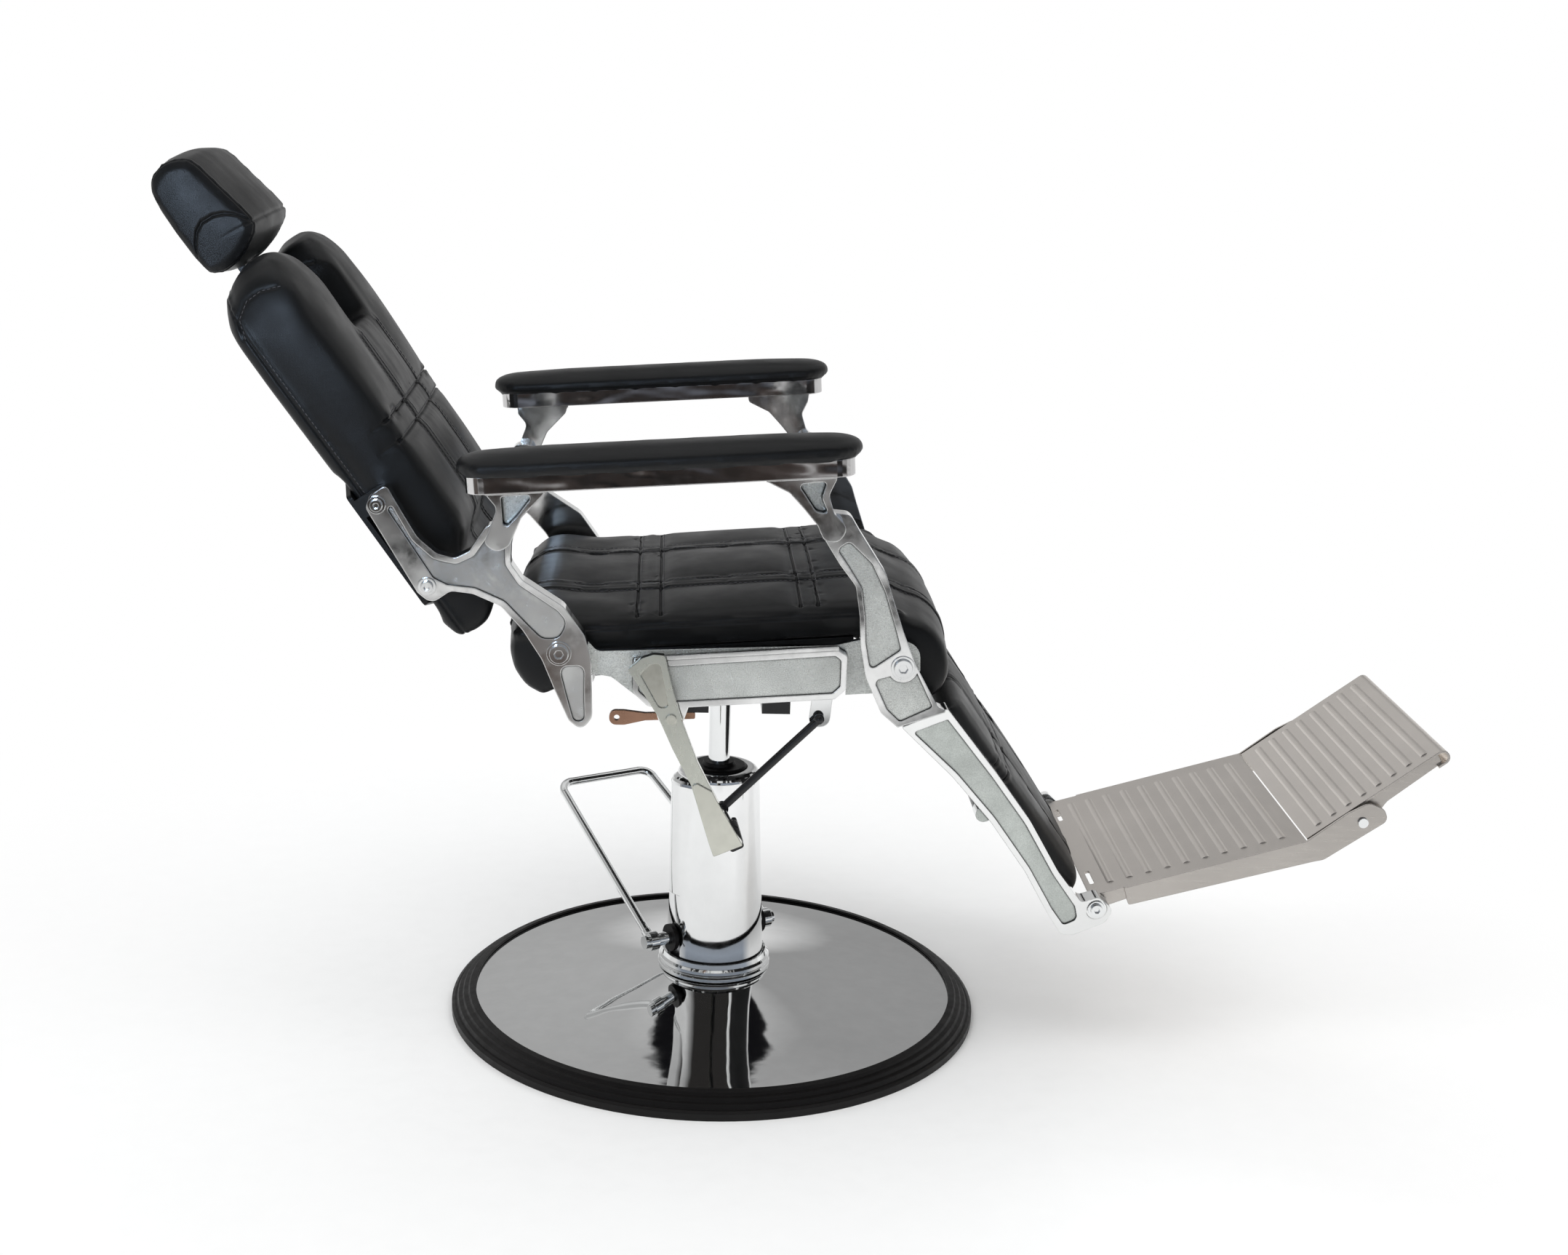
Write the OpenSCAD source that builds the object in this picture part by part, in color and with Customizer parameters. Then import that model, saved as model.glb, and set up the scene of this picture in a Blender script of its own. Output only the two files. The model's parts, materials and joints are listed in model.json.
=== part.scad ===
// Hydraulic barber chair: cast side linkage, reclining back, rising leg rest and
// two-part footplate on a pump column with a round base.
// Frame: origin on the floor under the column, +X towards the footplate, +Z up.
// The sitter's right side is -Y.

/* [Base] */
// Outer diameter of the rubber ring on the floor
base_d = 700; // [620:10:760]
// Height of the rubber ring
ring_h = 28; // [22:1:36]
// Radial width of the rubber ring that shows
ring_w = 32; // [24:1:44]
// Height of the dome where it meets the column
dome_h = 58; // [50:1:76]
// Sheet thickness of the dome
dome_wall = 3; // [2:0.5:4]
// Thickness of the ballast plate
ballast_t = 8; // [6:1:12]

/* [Pump] */
// Diameter of the shroud at its foot
shroud_foot_d = 130; // [128:1:140]
// Diameter of the shroud under its shoulder
shroud_top_d = 108; // [104:1:114]
// Height of the top of the shroud above the floor
shroud_h = 335; // [320:1:350]
// Wall of the shroud
shroud_wall = 2.5; // [1.5:0.5:4]
// Diameter of the pump cylinder
cylinder_d = 84; // [76:1:90]
// Diameter of the lifting ram
ram_d = 28; // [24:1:34]
// Diameter of the pedal rod
pedal_rod_d = 11; // [9:0.5:13]
// Length of the pedal arms
pedal_reach = 304; // [260:2:330]
// Height of the pedal shaft
pedal_h = 105; // [100:1:108]
// Slope of the pedal arms above level
pedal_rise = 26.6; // [20:0.2:34]
// Direction of the pedal shaft, seen from above
pedal_turn = 29.5; // [0:0.5:60]

/* [Seat frame] */
// Height of the front rocker pivots above the floor
seat_h = 550; // [540:1:580]
// Distance from the column to the front pivots
front_reach = 207; // [200:1:214]
// Distance from the column to the rear pivots
rear_reach = 199; // [192:1:206]
// Distance from the middle to the inner face of the castings
casting_y = 246; // [242:1:252]
// Thickness of the side castings
casting_t = 22; // [18:1:26]
// Diameter of the pivot bolts
pivot_d = 16; // [12:1:18]
// Slope of the seat
seat_tilt = 4.4; // [2:0.2:6]
// Half the width of the seat cushion
seat_half_w = 231; // [205:1:232]

/* [Back and headrest] */
// Lean of the back from upright
back_lean = 35; // [34:0.5:36]
// Half the width of the back cushion
back_half_w = 216; // [200:1:226]
// Height of the back cushion's top above the rear pivot
back_top = 566; // [540:2:590]
// Half the width of the slot for the headrest post
notch_half_w = 62; // [50:1:72]
// Depth of the slot for the headrest post
notch_depth = 136; // [110:2:150]
// Width of the headrest post
post_w = 38; // [30:1:42]
// Thickness of the headrest post
post_t = 10; // [8:0.5:11]
// Half the width of the headrest
headrest_half_w = 120; // [100:1:140]

/* [Arms] */
// Length of the arm pads
arm_pad_l = 462; // [420:2:480]
// Width of the arm pads
arm_pad_w = 80; // [70:1:84]
// Height of the arm trays
arm_tray_h = 20; // [16:1:26]
// Width of the arm trays
arm_tray_w = 70; // [62:1:76]
// Slope of the arms
arm_tilt = 4.2; // [2:0.1:6]

/* [Leg rest and footplate] */
// Length of the leg rails, from the front pivot to the foot hinge
leg_l = 423; // [410:1:436]
// Half the width over the leg rails at the foot hinge
foot_rail_y = 201; // [198:1:206]
// Half the width of the footplate
foot_half_w = 177; // [165:1:178]
// Length of the lower footplate
foot_l = 281; // [262:1:300]
// Length of the turn-over footplate
flip_l = 208; // [190:1:220]
// Slope of the footplate above level
foot_slope = 16.1; // [10:0.1:20]
// Slope of the turn-over plate against the footplate
flip_slope = 20.7; // [16:0.1:24]
// Number of pressed ribs on the lower footplate
foot_ribs = 10; // [6:1:12]
// Number of pressed ribs on the turn-over plate
flip_ribs = 8; // [5:1:9]

/* [Hidden] */
$fn = 64;

chrome = [0.80, 0.81, 0.82];
satin = [0.70, 0.72, 0.71];
black = [0.06, 0.06, 0.065];
nickel = [0.72, 0.69, 0.65];
brass = [0.66, 0.45, 0.26];
steel = [0.45, 0.46, 0.48];

// Radial clearance of everything that turns or slides in a bore
run_gap = 0.05;
// Gap between soft or curved faces and what they lie against
seat_gap = 0.3;
// Gap between the flat faces of parts that swing past each other
side_gap = 1.5;
// Plain overlap that makes a cut run clear through a face
through = 2;

front_pivot = [front_reach, seat_h];
rear_pivot = [-rear_reach, seat_h + 10];
arm_rear_pin = rear_pivot + [-73, 138];
arm_front_pin = front_pivot + [-87, 168];
casting_out = casting_y + casting_t;
rail_out = casting_y - side_gap;
rail_plate_t = 10;
rail_in = rail_out - rail_plate_t;

// ---- Outlines and placing -------------------------------------------------

function unit(v) = v / norm(v);
function turn(a) = a > 180 ? a - 360 : a < -180 ? a + 360 : a;

// Arc that rounds the corner b between a and c; r is limited by the shorter side
function corner(a, b, c, r) =
  let (
    u = unit([a.x - b.x, a.y - b.y]),
    w = unit([c.x - b.x, c.y - b.y]),
    half = acos(max(-1, min(1, u * w))) / 2,
    room = 0.48 * min(norm([a.x - b.x, a.y - b.y]), norm([c.x - b.x, c.y - b.y])),
    back = min(r / tan(half), room),
    radius = back * tan(half),
    mid = [b.x, b.y] + unit(u + w) * radius / sin(half),
    from = [b.x, b.y] + u * back - mid,
    to = [b.x, b.y] + w * back - mid,
    start = atan2(from.y, from.x),
    sweep = turn(atan2(to.y, to.x) - start),
    steps = max(1, ceil(abs(sweep) / 15))
  )
  [for (i = [0:steps]) mid + radius * [cos(start + sweep * i / steps), sin(start + sweep * i / steps)]];

// Outline with rounded corners, from points given as [x, y, radius]
function rounded(pts) =
  let (n = len(pts))
  [for (i = [0:n - 1]) each corner(pts[(i + n - 1) % n], pts[i], pts[(i + 1) % n], max(pts[i][2], 0.01))];

function moved(pts, by) = [for (p = pts) [p.x + by.x, p.y + by.y, p[2]]];

function arc(mid, r, from, to, steps) =
  [for (i = [0:steps]) mid + r * [cos(from + (to - from) * i / steps), sin(from + (to - from) * i / steps)]];

// Plate with an outline in X and Z, between two Y values
module plate(outline, y_from, y_to) {
  translate([0, y_to, 0]) rotate([90, 0, 0]) linear_extrude(y_to - y_from) polygon(outline);
}

// Round bar or bore along Y at a point in X and Z
module bar_y(at, d, y_from, y_to) {
  translate([at.x, y_to, at.y]) rotate([90, 0, 0]) cylinder(d = d, h = y_to - y_from);
}

// The sitter's right is modelled; the left is its mirror image
module on_side(left) {
  if (left) mirror([0, 1, 0]) children();
  else children();
}

// Back frame: origin on the rear pivots, +Z up along the back, +X out of its front
module in_back() {
  translate([rear_pivot.x, 0, rear_pivot.y]) rotate([0, -back_lean, 0]) children();
}

// Leg frame: origin on the front pivots, -Z down along the leg, +X out of its front
leg_lean = 35;
module in_leg() {
  translate([front_pivot.x, 0, front_pivot.y]) rotate([0, -leg_lean, 0]) children();
}
function leg_point(p) =
  front_pivot + [p.x * cos(leg_lean) - p.y * sin(leg_lean), p.x * sin(leg_lean) + p.y * cos(leg_lean)];

// ---- Lofted soft forms ----------------------------------------------------

// Closed skin through rings of equal length, each given as 3-D points. Each end is
// closed from one inner point, or from two where no single point sees the whole ring
module loft(rings, inner = undef) {
  rows = len(rings);
  cols = len(rings[0]);
  first_mid = rows * cols;
  first_in = inner == undef ? [ring_mid(rings[0])] : inner[0];
  last_in = inner == undef ? [ring_mid(rings[rows - 1])] : inner[1];
  points = concat([for (r = rings) each r], first_in, last_in);
  sides = [for (j = [0:rows - 2], i = [0:cols - 1], k = [0, 1])
    let (a = j * cols + i, b = j * cols + (i + 1) % cols, c = a + cols, d = b + cols)
    k == 0 ? [a, b, d] : [a, d, c]];
  caps = [for (i = [0:cols - 1])
    let (
      j = (i + 1) % cols,
      last = (rows - 1) * cols,
      a = nearer(rings[0][i], first_in),
      b = nearer(rings[0][j], first_in),
      from = first_mid,
      to = first_mid + len(first_in)
    )
    each concat([[from + a, j, i], [to + a, last + i, last + j]],
      a == b ? [] : [[from + a, from + b, j], [to + b, to + a, last + j]])];
  polyhedron(points, concat(sides, caps));
}
function nearer(p, inner) = len(inner) > 1 && abs(p.x - inner[1].x) < abs(p.x - inner[0].x) ? 1 : 0;
function ring_mid(ring) = [for (k = [0:2]) total([for (p = ring) p[k]]) / len(ring)];
function total(v) = v * [for (x = v) 1];

// Outward normal of a closed outline that runs counter-clockwise
function outward(ring, i) =
  let (n = len(ring), a = ring[(i + n - 1) % n], b = ring[(i + 1) % n], d = unit([b.x - a.x, b.y - a.y]))
  [d.y, -d.x];

// Sewn channels: full depth on the line, nothing past half a width from it
channel_depth = 3.5;
channel_half_w = 5;
function channel(x) = abs(x) >= channel_half_w ? 0 : channel_depth * (1 - abs(x) / channel_half_w);
function channels(x, lines) = max([for (l = lines) channel(x - l)]);
function channel_stations(lines) = [for (l = lines) each [l - channel_half_w, l, l + channel_half_w]];

// Stations from one side to the other, mirrored about the middle
function both_sides(half) = concat([for (i = [len(half) - 1:-1:0]) -half[i]], [0], half);

// How far a rounded edge of radius r has drawn in at y, for a half width w
function edge_inset(y, w, r) =
  let (d = min(r * 0.999, max(0, abs(y) - (w - r)))) r - sqrt(r * r - d * d);

// ---- Base -----------------------------------------------------------------

ring_r = base_d / 2;
dome_r = ring_r - ring_w + 4;
collar_r = shroud_foot_d / 2 + 10;
column_hole_r = shroud_foot_d / 2 + 1;
plate_z = 5;
plate_top = plate_z + ballast_t;
dome_edge_z = ring_h - 4;
dome_steps = 10;

// Top of the dome as a share f of the way from the column to the edge
function dome_point(f) =
  [column_hole_r + (dome_r - column_hole_r) * f, dome_edge_z + (dome_h - dome_edge_z) * pow(1 - f, 1.5)];

module base_ring() {
  step = ring_w / 5;
  color(black) rotate_extrude($fn = 128) polygon([
    [dome_r - 10, 0], [ring_r, 0], [ring_r, ring_h * 0.34], [ring_r - step * 0.6, ring_h * 0.42],
    [ring_r - step, ring_h * 0.42], [ring_r - step * 1.4, ring_h * 0.62], [ring_r - step * 2.2, ring_h * 0.66],
    [ring_r - step * 2.5, ring_h * 0.8], [ring_r - step * 3.4, ring_h * 0.84],
    [ring_r - step * 3.7, ring_h * 0.96], [ring_r - ring_w, ring_h],
    [ring_r - ring_w, dome_edge_z + 1], [dome_r + seat_gap, dome_edge_z], [dome_r + seat_gap, plate_z],
    [dome_r - 10, plate_z]
  ]);
}

module base_dome() {
  color(chrome) rotate_extrude($fn = 128) polygon(concat(
    [for (i = [0:dome_steps]) dome_point(i / dome_steps)],
    [[dome_r, plate_top], [dome_r - dome_wall, plate_top]],
    [for (i = [dome_steps:-1:0]) dome_point(i / dome_steps) - [i == dome_steps ? dome_wall : 0, dome_wall]]
  ));
}

module ballast_plate() {
  color(steel) difference() {
    union() {
      translate([0, 0, plate_z]) cylinder(r = dome_r, h = ballast_t, $fn = 128);
      translate([0, 0, plate_z]) cylinder(r = collar_r - 4, h = dome_h - dome_wall - 1.5 - plate_z);
    }
    translate([0, 0, plate_top]) cylinder(r = block_r + run_gap, h = dome_h);
  }
}

module foot_collar() {
  inner = column_hole_r;
  color(chrome) rotate_extrude() polygon([
    [inner, dome_h], [collar_r, dome_h], [collar_r, dome_h + 4], [collar_r - 3, dome_h + 6],
    [collar_r - 1, dome_h + 9], [collar_r - 1, dome_h + 13], [collar_r - 4, dome_h + 16],
    [collar_r - 6, dome_h + 22], [inner, dome_h + 22]
  ]);
}

// ---- Pump -----------------------------------------------------------------

block_r = 58;
block_top = 118;
shaft_d = 18;
bush_d = 26;
pedal_near = 96;
pedal_far = 78;
pedal_top_far = 45;
finger_l = 31;
finger_w = 12;
finger_t = 10;
plunger_d = 14;
plunger_reach = 30;
plunger_foot = 42;
plunger_top = pedal_h - finger_t / 2 - seat_gap;
spring_z = plate_top + 7;
shroud_z = dome_h + 24;

// Pedal frame: origin on the shaft, +X along it, +Y towards the treadle
module in_pedal() {
  translate([0, 0, pedal_h]) rotate([0, 0, pedal_turn]) children();
}

module bar_x(d, x_from, x_to) {
  translate([x_from, 0, 0]) rotate([0, 90, 0]) cylinder(d = d, h = x_to - x_from);
}

module pump_block() {
  color(steel) difference() {
    translate([0, 0, plate_top]) cylinder(r = block_r, h = block_top - plate_top);
    in_pedal() bar_x(bush_d, -block_r - through, block_r + through);
    in_pedal() translate([-finger_w / 2 - 2, 0, -finger_t / 2 - 16])
      cube([finger_w + 4, block_r + through, finger_t + 24]);
    in_pedal() translate([0, plunger_reach, spring_z - pedal_h])
      cylinder(d = plunger_d + 2 * run_gap, h = pedal_h - spring_z);
  }
}

module pump_cylinder() {
  color(steel) difference() {
    translate([0, 0, block_top]) cylinder(d = cylinder_d, h = gland_z - block_top);
    translate([0, 0, block_top + 6]) cylinder(d = piston_d + 2 * run_gap, h = shroud_h);
  }
}

gland_z = shroud_h - 17;
gland_r = 37;
shoulder = 10;
bulge_r = 34;
bulge_reach = 30;
bulge_turn = 200;
bulge_z = 165;

module shroud_form(inset) {
  foot = shroud_foot_d / 2 - inset;
  top = shroud_top_d / 2 - inset;
  rotate_extrude() polygon(concat(
    [[0, shroud_z - inset], [foot, shroud_z - inset]],
    arc([top - shoulder, shroud_h - shoulder - inset], shoulder, 4, 90, 5),
    [[0, shroud_h - inset]]
  ));
  rotate([0, 0, bulge_turn]) translate([bulge_reach, 0, 0]) rotate_extrude() polygon(concat(
    [[0, bulge_z + inset], [bulge_r - inset, bulge_z + inset]],
    arc([bulge_r - inset - shoulder, shroud_h - shoulder - 8 - inset], shoulder, 0, 90, 4),
    [[0, shroud_h - 8 - inset]]
  ));
}

module pump_shroud() {
  color(chrome) difference() {
    shroud_form(0);
    shroud_form(shroud_wall);
    translate([0, 0, shroud_h - 2 * shoulder]) cylinder(r = gland_r + 1, h = 3 * shoulder);
    // Slots that the pedal shaft leaves through
    in_pedal() bar_x(bush_d + 6, -shroud_foot_d, shroud_foot_d);
    in_pedal() translate([-shroud_foot_d, -bush_d / 2 - 3, -pedal_h])
      cube([2 * shroud_foot_d, bush_d + 6, pedal_h]);
  }
}

module ram_gland() {
  color(black) rotate_extrude() polygon([
    [ram_d / 2 + run_gap, gland_z], [gland_r, gland_z], [gland_r, shroud_h + 1], [gland_r - 3, shroud_h + 3],
    [ram_d / 2 + 8, shroud_h + 3], [ram_d / 2 + 6, shroud_h + 8], [ram_d / 2 + run_gap, shroud_h + 8]
  ]);
}

module shaft_bushes() {
  bush_out = pedal_far - 8;
  color(black) in_pedal() for (side = [-1, 1]) rotate([0, 0, side > 0 ? 0 : 180]) difference() {
    union() {
      bar_x(bush_d, block_r - 14, bush_out);
      bar_x(bush_d + 10, bush_out - 5, bush_out);
    }
    bar_x(shaft_d + 2 * run_gap, 0, pedal_near);
  }
}

module pedal_shaft() {
  color(chrome) in_pedal() {
    bar_x(shaft_d, -pedal_near - 12, pedal_far + 12);
    translate([-finger_w / 2, 0, -finger_t / 2]) cube([finger_w, finger_l, finger_t]);
  }
}

// Bent rod in the XY plane: straight runs that end inside slightly thicker bends
bend_lap = 1;
bend_swell = 0.3;
module bent_rod(path, bend_r, d) {
  n = len(path);
  sets = [for (i = [0:n - 1]) i == 0 || i == n - 1 ? 0 : bend_set(path, i, bend_r)];
  for (i = [0:n - 2]) {
    run = path[i + 1] - path[i];
    way = unit(run);
    before = i == 0 ? 0 : sets[i] - bend_lap;
    after = i == n - 2 ? 0 : sets[i + 1] - bend_lap;
    from = path[i] + way * before;
    translate([from.x, from.y, 0]) rotate([0, 90, atan2(way.y, way.x)])
      cylinder(d = d, h = norm(run) - before - after);
  }
  for (i = [1:n - 2]) {
    into = unit(path[i] - path[i - 1]);
    out = unit(path[i + 1] - path[i]);
    bend = turn(atan2(out.y, out.x) - atan2(into.y, into.x));
    side = bend > 0 ? 1 : -1;
    mid = path[i] - into * sets[i] + [-into.y, into.x] * bend_r * side;
    translate([mid.x, mid.y, 0])
      rotate([0, 0, atan2(into.y, into.x) - 90 * side + (side > 0 ? 0 : bend)])
        rotate_extrude(angle = abs(bend)) translate([bend_r, 0]) circle(d = d + bend_swell, $fn = 32);
  }
}
function bend_set(path, i, r) =
  let (a = unit(path[i] - path[i - 1]), b = unit(path[i + 1] - path[i]))
  r * tan(acos(max(-1, min(1, a * b))) / 2);

module pedal_loop() {
  foot = shaft_d / 2 + 1;
  color(chrome) in_pedal() rotate([pedal_rise, 0, 0]) {
    bent_rod([[-pedal_near, foot], [-pedal_near, pedal_reach], [pedal_top_far, pedal_reach], [pedal_far, foot]],
      18, pedal_rod_d);
    for (x = [-pedal_near, pedal_far]) difference() {
      union() {
        bar_x_at(x, shaft_d + 8, 12);
        translate([x, 0, 0]) rotate([-90, 0, 0]) cylinder(d = pedal_rod_d + 3, h = shaft_d);
      }
      bar_x_at(x, shaft_d, 20);
    }
  }
}
module bar_x_at(x, d, l) {
  translate([x, 0, 0]) bar_x(d, -l / 2, l / 2);
}

module pump_plunger() {
  color(chrome) in_pedal() translate([0, plunger_reach, plunger_foot - pedal_h])
    cylinder(d = plunger_d, h = plunger_top - plunger_foot);
}

spring_turns = 4;
spring_wire = 2;
module pump_spring() {
  r = plunger_d / 2 - spring_wire / 2 - 0.4;
  rise = plunger_foot - spring_z - spring_wire - 0.4;
  sides = 6;
  steps = spring_turns * 12;
  color(steel) in_pedal() translate([0, plunger_reach, spring_z - pedal_h + spring_wire / 2 + 0.2])
    loft([for (j = [0:steps]) [for (i = [0:sides - 1])
      let (a = 360 * j / 12, w = 360 * i / sides, q = r + spring_wire / 2 * cos(w))
      [q * cos(a), q * sin(a), rise * j / steps + spring_wire / 2 * sin(w)]]]);
}

// ---- Ram and seat frame ---------------------------------------------------

piston_d = 60;
ram_foot = 186;
ram_top = seat_h - 64;
hub_z = seat_h - 120;
bar_z = seat_h - 70;
bar_h = 14;

module ram_piston() {
  color(steel) difference() {
    translate([0, 0, ram_foot]) cylinder(d = piston_d, h = 24);
    translate([0, 0, ram_foot + 8]) cylinder(d = ram_d + 2 * run_gap, h = 24);
  }
}

module ram() {
  color(chrome) translate([0, 0, ram_foot + 8 + seat_gap])
    cylinder(d = ram_d, h = ram_top - ram_foot - 8 - seat_gap);
}

module swivel_plate() {
  plate_w = 150;
  plate_l = 190;
  color(black) difference() {
    union() {
      translate([0, 0, hub_z]) cylinder(d1 = ram_d + 26, d2 = ram_d + 44, h = bar_z - hub_z);
      translate([0, 0, bar_z - 6]) linear_extrude(6) polygon(rounded([
        [-plate_l / 2, -plate_w / 2, 14], [plate_l / 2, -plate_w / 2, 14],
        [plate_l / 2, plate_w / 2, 14], [-plate_l / 2, plate_w / 2, 14]]));
    }
    translate([0, 0, hub_z - through]) cylinder(d = ram_d, h = ram_top);
  }
}

bar_w = 34;
bar_at = [-38, 60];

// Height of the rail's lower edge at x
function rail_low(x) = seat_h - 52 + x * tan(seat_tilt);

function bar_top(x) = rail_low(x) + 10;

module frame_bars() {
  color(black) for (x = bar_at) translate([x - bar_w / 2, 0, 0]) difference() {
    translate([0, -rail_in, bar_z]) cube([bar_w, 2 * rail_in, bar_top(x) - bar_z]);
    // Room for the lock over the bar
    translate([-through, -lock_y - lock_ear_in, bar_top(x) - bar_h]) cube([bar_w + 2 * through, 2 * lock_ear_in, 2 * bar_h]);
  }
  // Ears that carry the crank and the front end of the lock
  color(black) for (y = [-lock_y - lock_ear_in - lock_ear_t, -lock_y + lock_ear_in]) difference() {
    plate(rounded([[bar_at[1] - 8, bar_z + 2, 2], [bar_at[1] + bar_w / 2 - 1, bar_z + 2, 2],
      crank_corner(1, -1), crank_corner(1, 1), crank_corner(-1, 1)]), y, y + lock_ear_t);
    bar_y(crank_pivot, crank_pin_d + 2 * run_gap, y - 1, y + lock_ear_t + 1);
  }
}
lock_ear_in = 15.5;
lock_ear_t = 5;
function crank_corner(i, j) = [crank_pivot.x + i * 12, crank_pivot.y + j * 12, 11];

rail_outline = [
  [-rear_reach - 21, seat_h - 12, 12], [-rear_reach - 21, seat_h + 31, 18], [-rear_reach + 22, seat_h + 31, 16],
  [-rear_reach + 44, seat_h + 7, 12], [front_reach - 80, seat_h + 19.5, 20], [front_reach - 46, seat_h + 28, 10],
  [front_reach + 22, seat_h + 25, 20], [front_reach + 24, seat_h - 24, 20], [front_reach - 16, seat_h - 38, 14],
  [front_reach - 46, seat_h - 40, 8], [front_reach - 80, seat_h - 42.5, 20], [-58, seat_h - 56, 20],
  [-98, seat_h - 55, 12], [-138, seat_h - 24, 12]
];
rail_box = [
  [-112, seat_h, 3], [front_reach - 78, seat_h + 19, 4], [front_reach - 66, seat_h + 12, 4],
  [front_reach - 66, seat_h - 30, 6], [front_reach - 79, seat_h - 42, 5], [-56, seat_h - 56, 20],
  [-94, seat_h - 55, 10], [-112, seat_h - 38, 8]
];
rail_panel = [
  [-106, seat_h - 8, 3], [front_reach - 80, seat_h + 11.5, 4], [front_reach - 73, seat_h + 6, 4],
  [front_reach - 73, seat_h - 26, 4], [front_reach - 82, seat_h - 35, 4], [-58, seat_h - 48.5, 20],
  [-92, seat_h - 48, 8], [-106, seat_h - 36, 6]
];
rail_face = 262;
lever_pivot = [-66, seat_h - 65];

module rail_form() {
  difference() {
    union() {
      plate(rounded(rail_outline), -rail_out, -rail_in);
      plate(rounded(rail_box), -rail_face, -rail_out);
      // Polished bead along the top of the panel
      translate([0, 0, seat_h + 8.5]) rotate([0, -seat_tilt, 0])
        translate([-110, -rail_face - 1.5, 0]) cube([front_reach + 34, 4, 5]);
    }
    plate(rounded(rail_panel), -rail_face - through, -rail_face + 2);
    for (p = [rear_pivot, front_pivot]) bar_y(p, pivot_d + 2 * run_gap, -rail_out - 1, -rail_in + 1);
  }
}

module rail_right() {
  color(satin) difference() {
    union() {
      rail_form();
      // Lug that carries the recline lever
      plate(rounded([[lever_pivot.x - 22, seat_h - 50, 2], [lever_pivot.x + 22, seat_h - 50, 2],
        [lever_pivot.x + 13, lever_pivot.y - 13, 12], [lever_pivot.x - 13, lever_pivot.y - 13, 12]]),
        -rail_face, -rail_in);
    }
    bar_y(lever_pivot, lever_pin_d + 2 * run_gap, -rail_face - 1, -rail_in + 1);
    // Room for the release crank, and the blind bore that its shaft ends in
    translate([crank_pivot.x - 24, -rail_out, seat_h - 80]) cube([48, 2 * rail_plate_t, crank_pivot.y - seat_h + 96]);
    bar_y(crank_pivot, crank_pin_d + 2 * run_gap, -rail_out - crank_bore, -rail_out + 1);
  }
}

module rail_left() {
  color(satin) on_side(true) rail_form();
}

board_t = 12;
board_z = seat_h + 14;
module seat_board() {
  color(black) translate([0, 0, board_z]) rotate([0, -seat_tilt, 0])
    translate([-160, -seat_half_w + 6, -board_t]) cube([311, 2 * seat_half_w - 12, board_t]);
  // Posts that stand on the cross bars
  color(black) for (x = bar_at, y = [-150, 150]) {
    top = board_z - board_t + (x - 12) * tan(seat_tilt) - 1;
    translate([x, y, bar_top(x)]) cylinder(d = 24, h = top + 4 - bar_top(x));
  }
}

bolt_head_t = 6;
module hex_bolt_head(at, y, d) {
  difference() {
    union() {
      bar_y(at, d, y - bolt_head_t, y);
      bar_y(at, d + 7, y - 1.5, y);
    }
    translate([at.x, y - bolt_head_t + 3, at.y]) rotate([90, 0, 0]) cylinder(d = d * 0.5, h = 4, $fn = 6);
  }
}

module pivot_bolts() {
  color(chrome) for (left = [false, true], p = [rear_pivot, front_pivot]) on_side(left) {
    bar_y(p, pivot_d, -casting_out - 0.4, -rail_in);
    hex_bolt_head(p, -casting_out - 0.4, pivot_d + 6);
  }
}

// Brass stop that hangs under the right rail
module back_stop() {
  eye = [-131, seat_h - 78];
  color(brass) difference() {
    plate(rounded(moved([[-9, -9, 8], [9, -9, 8], [34, -3, 3], [94, 0, 2], [94, 8, 2], [34, 6, 3], [9, 9, 8],
      [-9, 9, 8]], eye)), -rail_in + 0.5, -rail_in + 6.5);
    bar_y(eye, 7, -rail_in, -rail_in + 8);
  }
}

// ---- Seat cushion ---------------------------------------------------------

seat_lines_x = [-109, -81, 86, 107];
seat_lines_y = [83, 112];
seat_crown = 8;
seat_edge_r = 14;
roll_r = 60;
under_rear = [-162, board_z + seat_gap - 162 * tan(seat_tilt)];
under_front = [154, board_z + seat_gap + 154 * tan(seat_tilt)];
roll_mid = rear_pivot + [0, -3];

seat_thick = 42;

// Height of the seat's edge above the floor at x
function seat_edge(x) = board_z + seat_thick + x * tan(seat_tilt);

// Reach of the seat's nose from the front pivots, at angle a
function nose_r(a) = a > -26 ? 67 - 17 * (a + 26) / 110 : 67 + (a + 26) * 0.28;

seat_side = concat(
  [under_rear, [-176, seat_h - 32]],
  [for (a = [252:-24:108]) roll_mid + (a < 170 ? roll_r - (170 - a) * 0.28 : roll_r) * [cos(a), sin(a)]]
);
seat_top = [-165, for (x = channel_stations(seat_lines_x)) x, 0, 40, 140, 172];
function ascending(v) = len(v) < 2 ? v :
  let (p = v[0], low = [for (x = v) if (x < p) x], high = [for (x = v) if (x > p) x])
  concat(ascending(low), [p], ascending(high));
seat_nose = [for (a = [78:-19:-55]) front_pivot + nose_r(a) * [cos(a), sin(a)]];
// Outline of the seat, clockwise from the rear edge of the board
seat_outline_cw = concat(seat_side, [for (x = ascending(seat_top)) [x, seat_edge(x)]], seat_nose,
  [front_pivot + [18, -36], front_pivot + [-30, -4], under_front]);
seat_outline = [for (i = [len(seat_outline_cw) - 1:-1:0]) seat_outline_cw[i]];

function seat_soft(p) = p.y > board_z + 14 || p.x > front_pivot.x + 20 || p.x < rear_pivot.x - 20 ? 1 : 0;

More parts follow.
